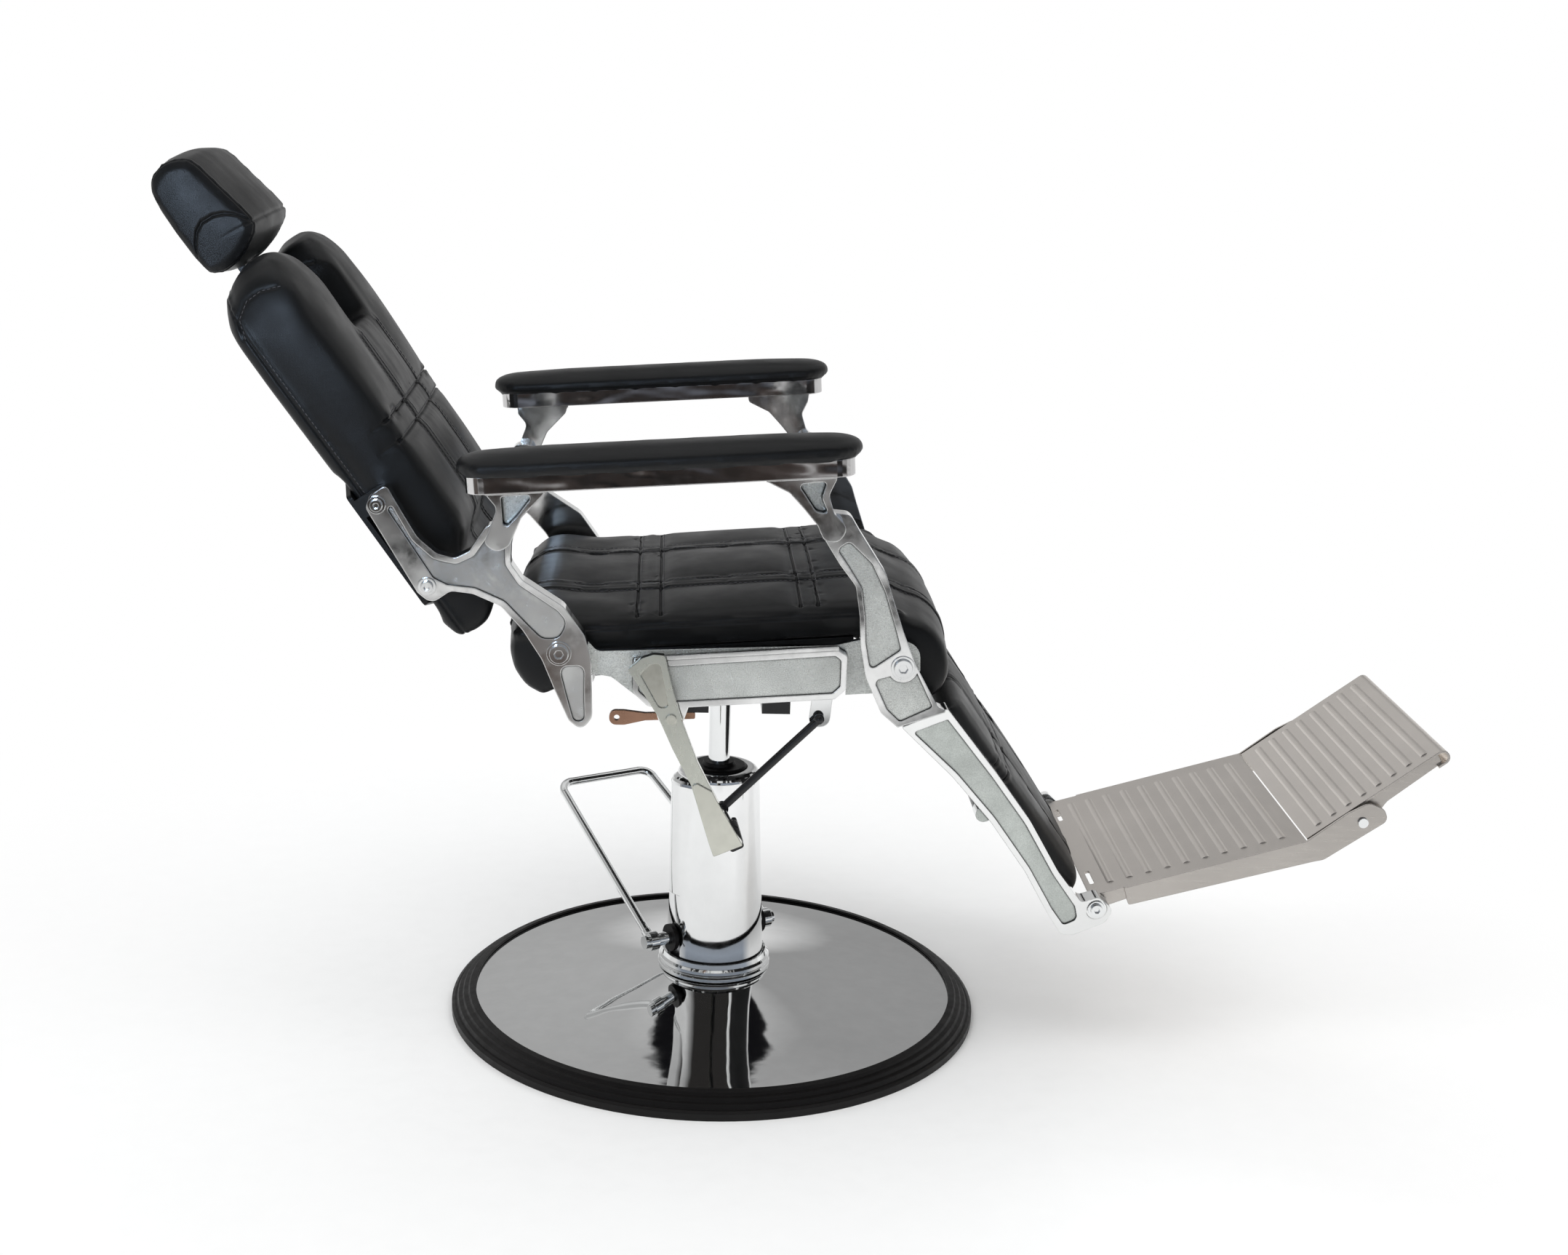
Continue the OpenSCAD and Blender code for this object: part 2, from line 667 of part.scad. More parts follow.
function seat_ring(y) =
  let (
    n = len(seat_outline),
    crown = seat_crown * (1 - pow(y / seat_half_w, 2)),
    edge = edge_inset(y, seat_half_w, seat_edge_r),
    along = channels(abs(y), seat_lines_y)
  )
  [for (i = [0:n - 1])
    let (
      p = seat_outline[i],
      soft = seat_soft(p),
      on_top = p.y > seat_h + 30 && abs(p.x) < 170 ? 1 : 0,
      across = on_top * channels(p.x, seat_lines_x) * (abs(y) > seat_half_w - 12 ? 0 : 1),
      q = p + outward(seat_outline, i) * (soft * (crown - max(along, across)) - edge)
    )
    [q.x, y, q.y]];

seat_stations = both_sides([40, 78, 83, 88, 107, 112, 117, 165, 205, 218, 225, 229, seat_half_w]);

seat_inner = [roll_mid + [5, 15], front_pivot + [-15, 40]];
module seat_cushion() {
  color(black) loft([for (y = seat_stations) seat_ring(y)],
    [for (y = [-seat_half_w, seat_half_w]) [for (p = seat_inner) [p.x, y, p.y]]]);
}

// ---- Back castings --------------------------------------------------------

casting_outline = moved([
  [-223, 170, 8], [-213, 187, 8], [-199, 197, 6], [-188, 177, 12], [-164, 136, 30], [-142, 117, 14],
  [-121, 112, 10], [-104, 121, 8], [-84, 152, 8], [-64, 152, 10], [-56, 134, 6], [-57, 108, 14], [-43, 88, 12],
  [5, 57, 20], [30, 22, 20], [38, -10, 20], [40, -78, 14], [27, -94, 12], [12, -82, 14], [-6, -42, 20],
  [-20, -8, 20], [-43, 28, 24], [-68, 56, 20], [-100, 70, 20], [-126, 73, 12], [-148, 57, 14], [-164, 70, 12]
], rear_pivot);
casting_panel = moved([
  [-146, 88, 6], [-198, 168, 6], [-193, 173, 4], [-170, 132, 30], [-145, 110, 16], [-119, 105, 12],
  [-99, 115, 10], [-80, 143, 8], [-69, 143, 8], [-63, 131, 6], [-63, 106, 14], [-47, 82, 12], [-2, 52, 20],
  [10, 38, 16], [0, 18, 14], [-20, 17, 14], [-38, 35, 20], [-64, 62, 20], [-98, 77, 20], [-130, 80, 8]
], rear_pivot);
tail_panel = moved([
  [0, -16, 9], [30, -14, 9], [30, -50, 30], [31, -82, 7], [18, -84, 7], [8, -48, 30]
], rear_pivot);
casting_bolts_at = [rear_pivot + [-210, 173], rear_pivot + [-153, 78]];
tail_pin = rear_pivot + [24, -76];
recess = 2;
bolt_d = 8;
waist_s = 250;
waist_draw = 0.06;
side_tab_y = back_half_w * (1 - waist_draw) + 5.5;
side_tab_t = 4;
spacer_y = side_tab_y + side_tab_t;
tail_d = 12;
arm_pin_d = 10;
arm_pin_inner = casting_y + 6;
bracket_in = casting_out + 1.3;
bracket_t = 17.7;
bracket_out = bracket_in + bracket_t;

module back_casting() {
  difference() {
    union() {
      plate(rounded(casting_outline), -casting_out, -casting_y);
      for (p = casting_bolts_at) {
        bar_y(p, 24, -casting_y - 1, -spacer_y);
        bar_y(p, 20, -casting_out - 0.6, -casting_y);
      }
    }
    plate(rounded(tail_panel), -casting_out - through, -casting_out + recess);
    difference() {
      plate(rounded(casting_panel), -casting_out - through, -casting_out + recess);
      for (p = casting_bolts_at) bar_y(p, 24, -casting_out - 2 * through, -casting_y);
    }
    bar_y(rear_pivot, pivot_d + 2 * run_gap, -casting_out - 1, -casting_y + 1);
    for (p = casting_bolts_at) bar_y(p, bolt_d + 2 * run_gap, -casting_out - 2, -spacer_y + 1);
    bar_y(tail_pin, tail_d + 2 * run_gap, -casting_y - 10, -casting_y + 1);
    bar_y(arm_rear_pin, arm_pin_d + 2 * run_gap, -casting_out - 1, -arm_pin_inner);
  }
}

module back_casting_right() {
  color(satin) back_casting();
}
module back_casting_left() {
  color(satin) on_side(true) back_casting();
}

module casting_bolts() {
  color(chrome) for (left = [false, true], p = casting_bolts_at) on_side(left) {
    bar_y(p, bolt_d, -casting_out - 0.9, -side_tab_y - 0.5);
    hex_bolt_head(p, -casting_out - 0.9, bolt_d + 6);
  }
}

module arm_pins() {
  color(chrome) for (left = [false, true]) on_side(left)
    bar_y(arm_rear_pin, arm_pin_d, -bracket_in - 12, -arm_pin_inner - 0.4);
}

module tail_rod() {
  reach = casting_y + 9.6;
  color(chrome) bar_y(tail_pin, tail_d, -reach, reach);
}

// ---- Back panel and cushion, in the back frame (X out of the front, Z up) --

back_rear = -110;
panel_t = 6;
notch_s = back_top - notch_depth;
back_bottom = 63;
wing_r = 62;

module back_panel_form() {
  w = panel_w - 10;
  top = back_top - 64;
  n = notch_half_w + 12;
  s = notch_s - 12;
  tab = side_tab_y + side_tab_t;
  half = [[n - 2, s, 24], [n, top, 40], [w, top, 50], [w, 296, 6], [tab, 282, 6], [tab, 126, 8], [w - 8, 112, 24]];
  outline = concat(half, [for (i = [len(half) - 1:-1:0]) [-half[i].x, half[i].y, half[i][2]]]);
  translate([back_rear, 0, 0]) rotate([90, 0, 90]) linear_extrude(panel_t) polygon(rounded(outline));
}

module back_panel() {
  color(black) in_back() {
    back_panel_form();
    for (side = [-1, 1], p = casting_bolts_at) {
      at = back_local(p);
      difference() {
        union() {
          translate([back_rear, side > 0 ? side_tab_y : -side_tab_y - side_tab_t, at.y - 12])
            cube([at.x - back_rear, side_tab_t, 24]);
          bar_y([at.x, at.y], 24, side > 0 ? side_tab_y : -side_tab_y - side_tab_t,
            side > 0 ? side_tab_y + side_tab_t : -side_tab_y);
        }
        bar_y([at.x, at.y], bolt_d + 2 * run_gap, -back_half_w - 40, back_half_w + 40);
      }
    }
  }
}
// A point given from the floor, in the back frame
function back_local(p) =
  let (d = p - rear_pivot)
  [d.x * cos(back_lean) + d.y * sin(back_lean), -d.x * sin(back_lean) + d.y * cos(back_lean)];

soft_rear = back_rear + panel_t + seat_gap;
slot_front = -82;
slot_half_w = 27;
back_lines_s = [302, 330];
back_lines_y = [36, 88];
back_crown = 6;
back_edge_r = 15;
back_outline_low = concat(
  [[back_rear, 108], [back_rear, 98], [-104, 73], [-84, back_bottom], [-62, 65], [-46, 76], [-37, 92], [-35, 120],
    [-38, 152], [-27, 164], [-17, 176], [-13, 192], [-12, 240]],
  [for (s = channel_stations(back_lines_s)) [-12, s]],
  [[-12, 380], [-12, notch_s]]
);
back_outline_high = [[-12, back_top - 38], [-17, back_top - 20], [-29, back_top - 6], [-45, back_top],
  [-64, back_top - 1], [-84, back_top - 10], [-99, back_top - 25], [-108, back_top - 42],
  [back_rear, back_top - 60], [back_rear, notch_s]];
back_outline = concat(back_outline_low, back_outline_high, [[back_rear, 312], [back_rear, 298]]);
panel_w = back_half_w - 44;

// Height of the back's top edge at y: two rounded wings with a slot between
function wing_top(y) =
  let (
    a = abs(y),
    mid = (back_half_w + notch_half_w) / 2,
    half = (back_half_w - notch_half_w) / 2,
    d = min(wing_r * 0.999, max(0, abs(a - mid) - (half - wing_r)))
  )
  a < notch_half_w ? notch_s + 8 : back_top - wing_r + sqrt(wing_r * wing_r - d * d);

// The back is narrower at the waist than at the shoulders
function waist(s) = 1 - waist_draw * pow(sin((430 - max(waist_s, min(430, s))) * 0.5), 2);

// Rear limit of the cushion at y and s: slot for the post, seat for the panel, or free
function back_limit(y, s) =
  abs(y) < slot_half_w ? slot_front : abs(y) < panel_w + 4 || (s > 100 && s < 305) ? soft_rear : back_rear;

function back_ring(y) =
  let (
    n = len(back_outline),
    crown = back_crown * (1 - pow(y / back_half_w, 2)),
    edge = edge_inset(y, back_half_w, back_edge_r) * 0.8,
    along = channels(abs(y), back_lines_y),
    rise = (wing_top(y) - notch_s) / notch_depth
  )
  [for (i = [0:n - 1])
    let (
      p = back_outline[i],
      front = p.x > -34 && p.y > 170 ? 1 : 0,
      across = front * channels(p.y, back_lines_s) * (abs(y) > back_half_w - 24 ? 0 : 1),
      push = front * (crown - max(along, across)) - edge,
      q = p + outward(back_outline, i) * push,
      t = max(q.x, back_limit(y, p.y) + (p.x - back_rear) * 0.02),
      s = q.y > notch_s ? notch_s + (q.y - notch_s) * rise : q.y
    )
    [t, y * waist(s), s]];

back_stations = both_sides([slot_half_w - 1, slot_half_w + 0.5, 31, 36, 41, notch_half_w - 0.5, notch_half_w + 0.5,
  notch_half_w + 4, 83, 88, 93, 135, panel_w + 3, panel_w + 5, back_half_w - 15, back_half_w - 6,
  back_half_w - 1.2, back_half_w]);

module back_cushion() {
  color(black) in_back() loft([for (y = back_stations) back_ring(y)]);
}

// ---- Headrest -------------------------------------------------------------

post_mid = back_rear + panel_t + 12;
post_low = 190;
hinge_s = 620;
socket_wall = 3;
socket_low = 180;
socket_high = notch_s - 6;

module headrest_socket() {
  deep = post_mid + post_t / 2 + socket_wall + run_gap - (back_rear + panel_t);
  color(steel) in_back() difference() {
    translate([back_rear + panel_t, -post_w / 2 - socket_wall - run_gap, socket_low])
      cube([deep, post_w + 2 * (socket_wall + run_gap), socket_high - socket_low]);
    translate([post_mid - post_t / 2 - run_gap, -post_w / 2 - run_gap, socket_low - 1])
      cube([post_t + 2 * run_gap, post_w + 2 * run_gap, socket_high - socket_low + 2]);
  }
}

knuckle_d = 14;
knuckle_w = 15;
hinge_pin_d = 6;
hinge_t = -100;

module headrest_post() {
  ear_w = 9;
  color(black) in_back() difference() {
    union() {
      translate([post_mid - post_t / 2, -post_w / 2, post_low]) cube([post_t, post_w, hinge_s - 34 - post_low]);
      plate(rounded([[post_mid - post_t / 2, hinge_s - 40, 1], [post_mid + post_t / 2, hinge_s - 40, 1],
        [hinge_t + knuckle_d / 2, hinge_s - 4, 4], [hinge_t + knuckle_d / 2, hinge_s + 7, 6],
        [hinge_t - knuckle_d / 2, hinge_s + 7, 6], [hinge_t - knuckle_d / 2, hinge_s - 4, 4]]),
        -knuckle_w / 2 - ear_w, knuckle_w / 2 + ear_w);
    }
    translate([hinge_t - 20, -knuckle_w / 2, hinge_s - 22]) cube([40, knuckle_w, 60]);
    bar_y([hinge_t, hinge_s], hinge_pin_d + 2 * run_gap, -40, 40);
  }
}

module headrest_hinge() {
  leaf_w = knuckle_w - 1;
  color(chrome) in_back() {
    bar_y([hinge_t, hinge_s], hinge_pin_d, -knuckle_w / 2 - 12, knuckle_w / 2 + 12);
    bar_y([hinge_t, hinge_s], knuckle_d, -leaf_w / 2, leaf_w / 2);
    translate([hinge_t - 5, -leaf_w / 2, hinge_s]) cube([5, leaf_w, 18]);
    translate([hinge_t - 5, -20, hinge_s + 14]) cube([5, 40, 46]);
  }
}

headrest_outline = [[-108, 582], [-92, 575], [-76, 576], [-58, 581], [-38, 592], [-29, 602], [-32, 622], [-38, 650],
  [-45, 686], [-50, 700], [-64, 708], [-80, 711], [-98, 706], [-108, 694], [-112, 672], [-113, 640],
  [-112, 605]];
headrest_crown = 7;
headrest_edge_r = 13;
recess_half_w = 25;

// Rear limit of the headrest inside its slot for the post, at height s
function headrest_slot(s) = s > hinge_s + 12 ? hinge_t + 0.3 : s > hinge_s - 14 ? -90 : -66;

function headrest_ring(y) =
  let (
    n = len(headrest_outline),
    crown = headrest_crown * (1 - pow(y / headrest_half_w, 2)),
    edge = edge_inset(y, headrest_half_w, headrest_edge_r) * 0.8,
    slot = abs(y) < recess_half_w
  )
  [for (i = [0:n - 1])
    let (
      p = headrest_outline[i],
      rear = p.x < -105 ? 1 : 0,
      q = p + outward(headrest_outline, i) * ((1 - rear) * crown - (rear > 0 ? edge * 0.5 : edge)),
      t = slot ? max(q.x, headrest_slot(q.y) + 0.01 * (p.x + 113)) : q.x
    )
    [t, y, q.y]];
headrest_stations = both_sides([recess_half_w - 1, recess_half_w + 1, 60, 90, headrest_half_w - 18,
  headrest_half_w - 10, headrest_half_w - 4, headrest_half_w - 1, headrest_half_w]);

module headrest_cushion() {
  color(black) in_back() loft([for (y = headrest_stations) headrest_ring(y)]);
}

// ---- Arms -----------------------------------------------------------------

arm_y = bracket_in + 25;
arm_mid = (arm_rear_pin + arm_front_pin) / 2 + [-7, 66.8];
tray_l = arm_pad_l - 20;

// Arm frame: origin under the middle of the tray, +X towards its front
module in_arm() {
  translate([arm_mid.x, -arm_y, arm_mid.y]) rotate([0, -arm_tilt, 0]) children();
}

module arm_bracket(outline, pin, hole_d, hole_depth, pocket, flange) {
  difference() {
    plate(rounded(moved(outline, pin)), -bracket_out, -bracket_in);
    plate(rounded(moved(pocket, pin)), -bracket_out - through, -bracket_in - 5);
    bar_y(pin, hole_d, -bracket_in - hole_depth, -bracket_in + 1);
    in_arm() translate([-arm_pad_l, -arm_tray_w, 0]) cube([2 * arm_pad_l, 3 * arm_tray_w, arm_tray_w]);
  }
  in_arm() translate([pin.x - arm_mid.x + flange.x, -arm_tray_w / 2 + 14, -4])
    cube([flange.y - flange.x, arm_y - bracket_in + arm_tray_w / 2 - 14, 4]);
}

module arm_bracket_rear() {
  arm_bracket([[-14, 92, 3], [66, 92, 3], [55, 55, 6], [30, 28, 14], [16, -6, 10], [2, -14, 12], [-13, -4, 8],
    [2, 38, 10], [-10, 52, 6]], arm_rear_pin, arm_pin_d + 2 * run_gap, 12.5,
    [[6, 52, 4], [44, 55, 4], [24, 28, 8], [9, 12, 4]], [-10, 58]);
}
module arm_bracket_rear_right() {
  color(satin) arm_bracket_rear();
}
module arm_bracket_rear_left() {
  color(satin) on_side(true) arm_bracket_rear();
}

rocker_pin_d = 8;
open_gap = 3.2;
module arm_bracket_front() {
  arm_bracket([[-90, 92, 3], [2, 92, 3], [-2, 60, 6], [-10, 42, 10], [-3, 20, 10], [14, 4, 12], [4, -14, 12],
    [-14, -12, 10], [-22, 6, 20], [-39, 26, 20], [-56, 44, 14], [-84, 57, 6]], arm_front_pin,
    rocker_pin_d + 2 * open_gap, 12.5,
    [[-46, 54, 4], [-12, 58, 4], [-18, 38, 8], [-9, 19, 4], [-24, 22, 10]], [-84, -4]);
}
module arm_bracket_front_right() {
  color(satin) arm_bracket_front();
}
module arm_bracket_front_left() {
  color(satin) on_side(true) arm_bracket_front();
}

function stadium(l, w, r) = rounded([[-l / 2, -w / 2, r], [l / 2, -w / 2, r], [l / 2, w / 2, r], [-l / 2, w / 2, r]]);
tray_wall = 2.5;

module arm_tray() {
  in_arm() difference() {
    linear_extrude(arm_tray_h) polygon(stadium(tray_l, arm_tray_w, 22));
    translate([0, 0, tray_wall]) linear_extrude(arm_tray_h)
      polygon(stadium(tray_l - 2 * tray_wall, arm_tray_w - 2 * tray_wall, 22 - tray_wall));
  }
}
module arm_tray_right() {
  color(chrome) arm_tray();
}
module arm_tray_left() {
  color(chrome) on_side(true) arm_tray();
}

arm_pad_h = 23;
// Arm pad section: [height as a share of the pad, how far the edge has drawn in]
pad_section = [[1, 33], [0.97, 23], [0.9, 14], [0.8, 7.5], [0.66, 2.8], [0.48, 0.4], [0.3, 0], [0.12, 2.6],
  [0, 8]];

function pad_ring(z, inset) =
  let (ring = stadium(arm_pad_l - 2 * inset, arm_pad_w - 2 * inset, max(4, arm_pad_w / 2 - 2 - inset)))
  [for (p = ring) [p.x, p.y, arm_tray_h + seat_gap + z * arm_pad_h]];

module arm_pad() {
  in_arm() {
    loft([for (k = pad_section) pad_ring(k[0], k[1])]);
    // Base board that drops into the tray
    translate([0, 0, arm_tray_h - 8]) linear_extrude(8 + seat_gap + 1)
      polygon(stadium(tray_l - 2 * tray_wall - 1, arm_tray_w - 2 * tray_wall - 1, 18));
  }
}
module arm_pad_right() {
  color(black) arm_pad();
}
module arm_pad_left() {
  color(black) on_side(true) arm_pad();
}

// ---- Rockers and leg rails ------------------------------------------------

rocker_outline = moved([
  [-107, 166, 10], [-97, 186, 12], [-70, 184, 12], [-58, 164, 14], [-25, 114, 20], [-18, 92, 20], [-2, 46, 40],
  [14, 6, 10], [44, -48, 6], [57, -53, 2], [-3, -74, 2], [-24, -56, 10], [-44, -12, 30], [-52, 30, 40],
  [-54, 62, 20], [-60, 98, 14], [-80, 124, 20]
], front_pivot);
rocker_panel = moved([
  [-39, -4, 5], [-46, 30, 30], [-48, 62, 30], [-53, 96, 20], [-71, 124, 16], [-84, 142, 6], [-70, 152, 6],
  [-42, 126, 16], [-25, 92, 20], [-10, 46, 20], [-3, 22, 5]
], front_pivot);
rocker_low_panel = moved([[-34, -16, 6], [-17, -52, 12], [-1, -67, 4], [38, -48, 4], [15, -2, 4]], front_pivot);
splay_from = 66;
rail_w = 20;
rail_mid_y = casting_y + rail_w / 2;
foot_mid_y = foot_rail_y - rail_w / 2 - 1;
splay = atan((rail_mid_y - foot_mid_y) / (leg_l - splay_from));
foot_hinge = leg_point([29, -leg_l]);

module rocker() {
  difference() {
    union() {
      plate(rounded(rocker_outline), -casting_out, -casting_y);
      // Tongue behind the leg rail
      plate(rounded(moved([[-8, -45, 4], [30, -36, 4], [46, -62, 4], [6, -78, 4]], front_pivot)),
        -casting_y - 1, -rail_out - 0.3);
    }
    difference() {
      plate(rounded(rocker_panel), -casting_out - through, -casting_out + recess);
      bar_y(front_pivot, 36, -casting_out - 2 * through, -casting_y);
    }
    difference() {
      plate(rounded(rocker_low_panel), -casting_out - through, -casting_out + recess);
      bar_y(front_pivot, 36, -casting_out - 2 * through, -casting_y);
    }
    bar_y(front_pivot, pivot_d + 2 * run_gap, -casting_out - 1, -casting_y + 1);
    bar_y(arm_front_pin, rocker_pin_d + 2 * run_gap, -casting_out - 1, -arm_pin_inner);
  }
}
module rocker_right() {
  color(satin) rocker();
}
module rocker_left() {
  color(satin) on_side(true) rocker();
}

module rocker_pins() {
  color(chrome) for (left = [false, true]) on_side(left)
    bar_y(arm_front_pin, rocker_pin_d, -bracket_in - 9, -arm_pin_inner - 0.4);
}

drop = leg_l - 423;
leg_outline = [
  [-41, 6, 2], [-25, -88, 60], [-18, -168, 80], [-18, -257 - drop, 60], [-25, -330 - drop, 20],
  [-26, -366 - drop, 10], [-14, -376 - drop, 6], [28, -386 - drop, 14], [47, -376 - drop, 12],
  [40, -348 - drop, 8], [18, -341 - drop, 8], [16, -283 - drop, 60], [23, -200, 80], [22, -120, 80], [17, -6, 2]
];
leg_panel = [
  [-33, -8, 3], [-18, -88, 60], [-11, -168, 80], [-11, -257 - drop, 60], [-17, -325 - drop, 20],
  [-17, -356 - drop, 6], [2, -360 - drop, 8], [9, -341 - drop, 10], [9, -283 - drop, 60], [16, -200, 80],
  [15, -120, 80], [10, -18, 3]
];
cross_u = 225;
cross_v = -24;
cross_d = 12;

module in_splay() {
  in_leg() translate([0, -rail_mid_y, -splay_from]) rotate([splay, 0, 0]) children();
}

module leg_rail() {
  difference() {
    union() {
      in_splay() plate(rounded(leg_outline), -rail_w / 2, rail_w / 2);
      // Lug for the cross bar
      in_splay() bar_y([cross_v + 5, splay_from - cross_u], cross_d + 10, -rail_w / 2 + 4, rail_w / 2);
      bar_y(foot_hinge, 26, -foot_rail_y, -lug_out - 1);
    }
    in_splay() plate(rounded(leg_panel), -rail_w, -rail_w / 2 + recess);
    plate(rounded(rocker_outline), -casting_out - through, -casting_y + 0.01);
    // Seat for the rocker's tongue
    plate(rounded(moved([[-10, -35, 4], [32, -26, 4], [50, -62, 4], [4, -82, 4]], front_pivot)),
      -casting_y - 1, -casting_y + 40);
    bar_y(foot_hinge, 24, -foot_rail_y - rail_w, -foot_rail_y);
    bar_y(foot_hinge, foot_bolt_d + 2 * run_gap, -foot_rail_y - 1, -foot_rail_y + 60);
    in_leg() bar_y([cross_v, -cross_u], cross_d + 2 * run_gap, -cross_end, 0);
  }
}
rail_at_cross = rail_mid_y - (cross_u - splay_from) * tan(splay);
cross_end = rail_at_cross + 4;
module leg_rail_right() {
  color(satin) leg_rail();
}
module leg_rail_left() {
  color(satin) on_side(true) leg_rail();
}

module leg_bar() {
  color(black) in_leg() bar_y([cross_v, -cross_u], cross_d, -cross_end + 0.4, cross_end - 0.4);
}

foot_bolt_d = 10;
module foot_bolts() {
  color(chrome) for (left = [false, true]) on_side(left) {
    bar_y(foot_hinge, foot_bolt_d, -foot_rail_y - 0.3, -lug_in);
    hex_bolt_head(foot_hinge, -foot_rail_y - 0.3, foot_bolt_d + 5);
  }
}

// ---- Leg cushion, in the leg frame (X out of the front, Z up the leg) -------

pad_top = 86;
pad_foot = leg_l - 20;
pad_front = 34;
pad_rear = -9;
pad_top_w = 220;
pad_taper = tan(splay);
leg_board_t = cross_v + cross_d / 2;
leg_lines_y = [79, 106];
leg_lines_u = [190, 214];

function leg_half_w(u) = pad_top_w - (u - pad_top) * pad_taper;

module leg_board() {
  rear = cross_v + cross_d / 2 + seat_gap;
  thick = pad_rear - seat_gap - rear;
  w0 = leg_half_w(pad_top) - 4;
  w1 = leg_half_w(pad_foot) - 4;
  color(black) in_leg() translate([rear, 0, 0]) rotate([90, 0, 90]) linear_extrude(thick) polygon(rounded([
    [-w0, -pad_top - 4, 20], [-w1, -pad_foot + 6, 20], [w1, -pad_foot + 6, 20], [w0, -pad_top - 4, 20]]));
}

// Half section of the pad across its width: [share of half width, share of thickness]
leg_across = [0, 0.2];
leg_crown = 6;

function leg_ring(u) =
  let (
    w = leg_half_w(u),
    near_end = min(u - pad_top, pad_foot - u),
    end_r = 18,
    d = max(0, end_r - near_end),
    pull = end_r - sqrt(max(0.01, end_r * end_r - d * d)),
    front = pad_front - pull,
    rear = pad_rear + pull * 0.6,
    thick = front - rear,
    lines = [for (l = leg_lines_y) l * w / pad_top_w],
    across = channels(u, leg_lines_u),
    ys = concat([0, 45 * w / pad_top_w], [for (l = lines) each [l - channel_half_w, l, l + channel_half_w]],
      [w - 50, w - 24]),
    face = [for (y = ys)
      [front + leg_crown * (1 - pow(y / w, 2)) - max(channels(y, lines), across), y]],
    side = [[front - thick * 0.08, w - 9], [front - thick * 0.28, w - 2], [front - thick * 0.55, w],
      [rear + thick * 0.12, w - 3], [rear, w - 10], [rear, w * 0.5]],
    half = concat(face, side),
    n = len(half)
  )
  concat(
    [for (p = half) [p.x, p.y, -u]],
    [[rear, 0, -u]],
    [for (i = [n - 1:-1:1]) [half[i].x, -half[i].y, -u]]
  );
leg_stations = concat(
  [pad_top + 0.4, pad_top + 3, pad_top + 9, pad_top + 18, 130, 160],
  channel_stations(leg_lines_u),
  [250, 300, pad_foot - 50, pad_foot - 18, pad_foot - 9, pad_foot - 3, pad_foot - 0.4]
);

module leg_cushion() {
  color(black) in_leg() loft([for (u = leg_stations) leg_ring(u)]);
}

// ---- Footplate ------------------------------------------------------------

sheet_t = 3;
foot_top = 8.2;
lug_in = 160;
lug_out = 174;
neck_l = 43;
neck_half_w = 156;
slot_y = 118;
flange_low = -16;
flip_back = 71;
flip_drop = 20.5;
flip_dir = [cos(flip_slope), sin(flip_slope)];
flip_pin = [foot_l, foot_top] + flip_dir * flip_back + [flip_dir.y, -flip_dir.x] * flip_drop;

// Footplate frame: origin on the foot hinge, +X along the plate, +Z out of its top
module in_foot() {
  translate([foot_hinge.x, 0, foot_hinge.y]) rotate([0, -foot_slope, 0]) children();
}
module in_flip() {
  in_foot() translate([flip_pin.x, 0, flip_pin.y]) rotate([0, -flip_slope, 0]) children();
}

rib_r = 9;
rib_rise = 1.5;
rib_root = 1;

// Pressed ribs across a sheet whose top is at z, evenly spaced from x0 to x1
module ribs(x0, x1, z, count, half_w) {
  step = (x1 - x0) / count;
  a = acos((rib_r - rib_rise - rib_root) / rib_r);
  for (i = [0:count - 1])
    plate(arc([x0 + step * (i + 0.5), z + rib_rise - rib_r], rib_r, 90 - a, 90 + a, 6), -half_w, half_w);
}

module footplate() {
  color(nickel) in_foot() difference() {
    union() {
      ribs(18, foot_l - 12, foot_top, foot_ribs, neck_half_w - 8);
      translate([-2, -neck_half_w, foot_top - sheet_t]) cube([neck_l + 4, 2 * neck_half_w, sheet_t]);
      translate([neck_l, -foot_half_w, foot_top - sheet_t])
        cube([foot_l - neck_l, 2 * foot_half_w, sheet_t]);
      // Turned-down ends of the plate
      translate([neck_l, -foot_half_w, flange_low + 4]) cube([sheet_t, 2 * foot_half_w, foot_top - flange_low - 5]);
      translate([foot_l - sheet_t, -foot_half_w, flange_low]) cube([sheet_t, 2 * foot_half_w, foot_top - flange_low]);
      for (side = [-1, 1]) {
        from = side < 0 ? -foot_half_w : foot_half_w - sheet_t;
        plate(rounded(concat(
          [[neck_l, foot_top, 2], [neck_l, flange_low, 3], [foot_l + 2, flange_low - 5, 20],
            [foot_l + 16, flange_low - 6, 14]],
          moved([[32, -6, 12], [30, 10, 10], [13, 23.5, 14], [-16, 17, 14]], flip_pin),
          [[foot_l, foot_top, 3]])), from, from + sheet_t);
        lug_from = side < 0 ? -lug_out : lug_in;
        plate(rounded([[-11, -11, 10], [11, -11, 10], [neck_l + 1, -8, 2], [neck_l + 1, foot_top - 0.5, 1],
          [-11, foot_top - 0.5, 6]]), lug_from, lug_from + lug_out - lug_in);
        translate([-2, side < 0 ? -lug_out : neck_half_w - 1, foot_top - sheet_t])
          cube([neck_l + 4, lug_out - neck_half_w + 1, sheet_t]);
      }
    }
    bar_y([0, 0], foot_bolt_d + 2 * run_gap, -foot_half_w - 20, foot_half_w + 20);
    bar_y(flip_pin, flip_pin_d + 2 * run_gap, -foot_half_w - 20, foot_half_w + 20);
    // Slots near the leg rest
    for (y = [-slot_y, slot_y]) translate([8, y, foot_top - 2 * sheet_t]) linear_extrude(3 * sheet_t)
      polygon(stadium(6, 44, 3));
  }
}

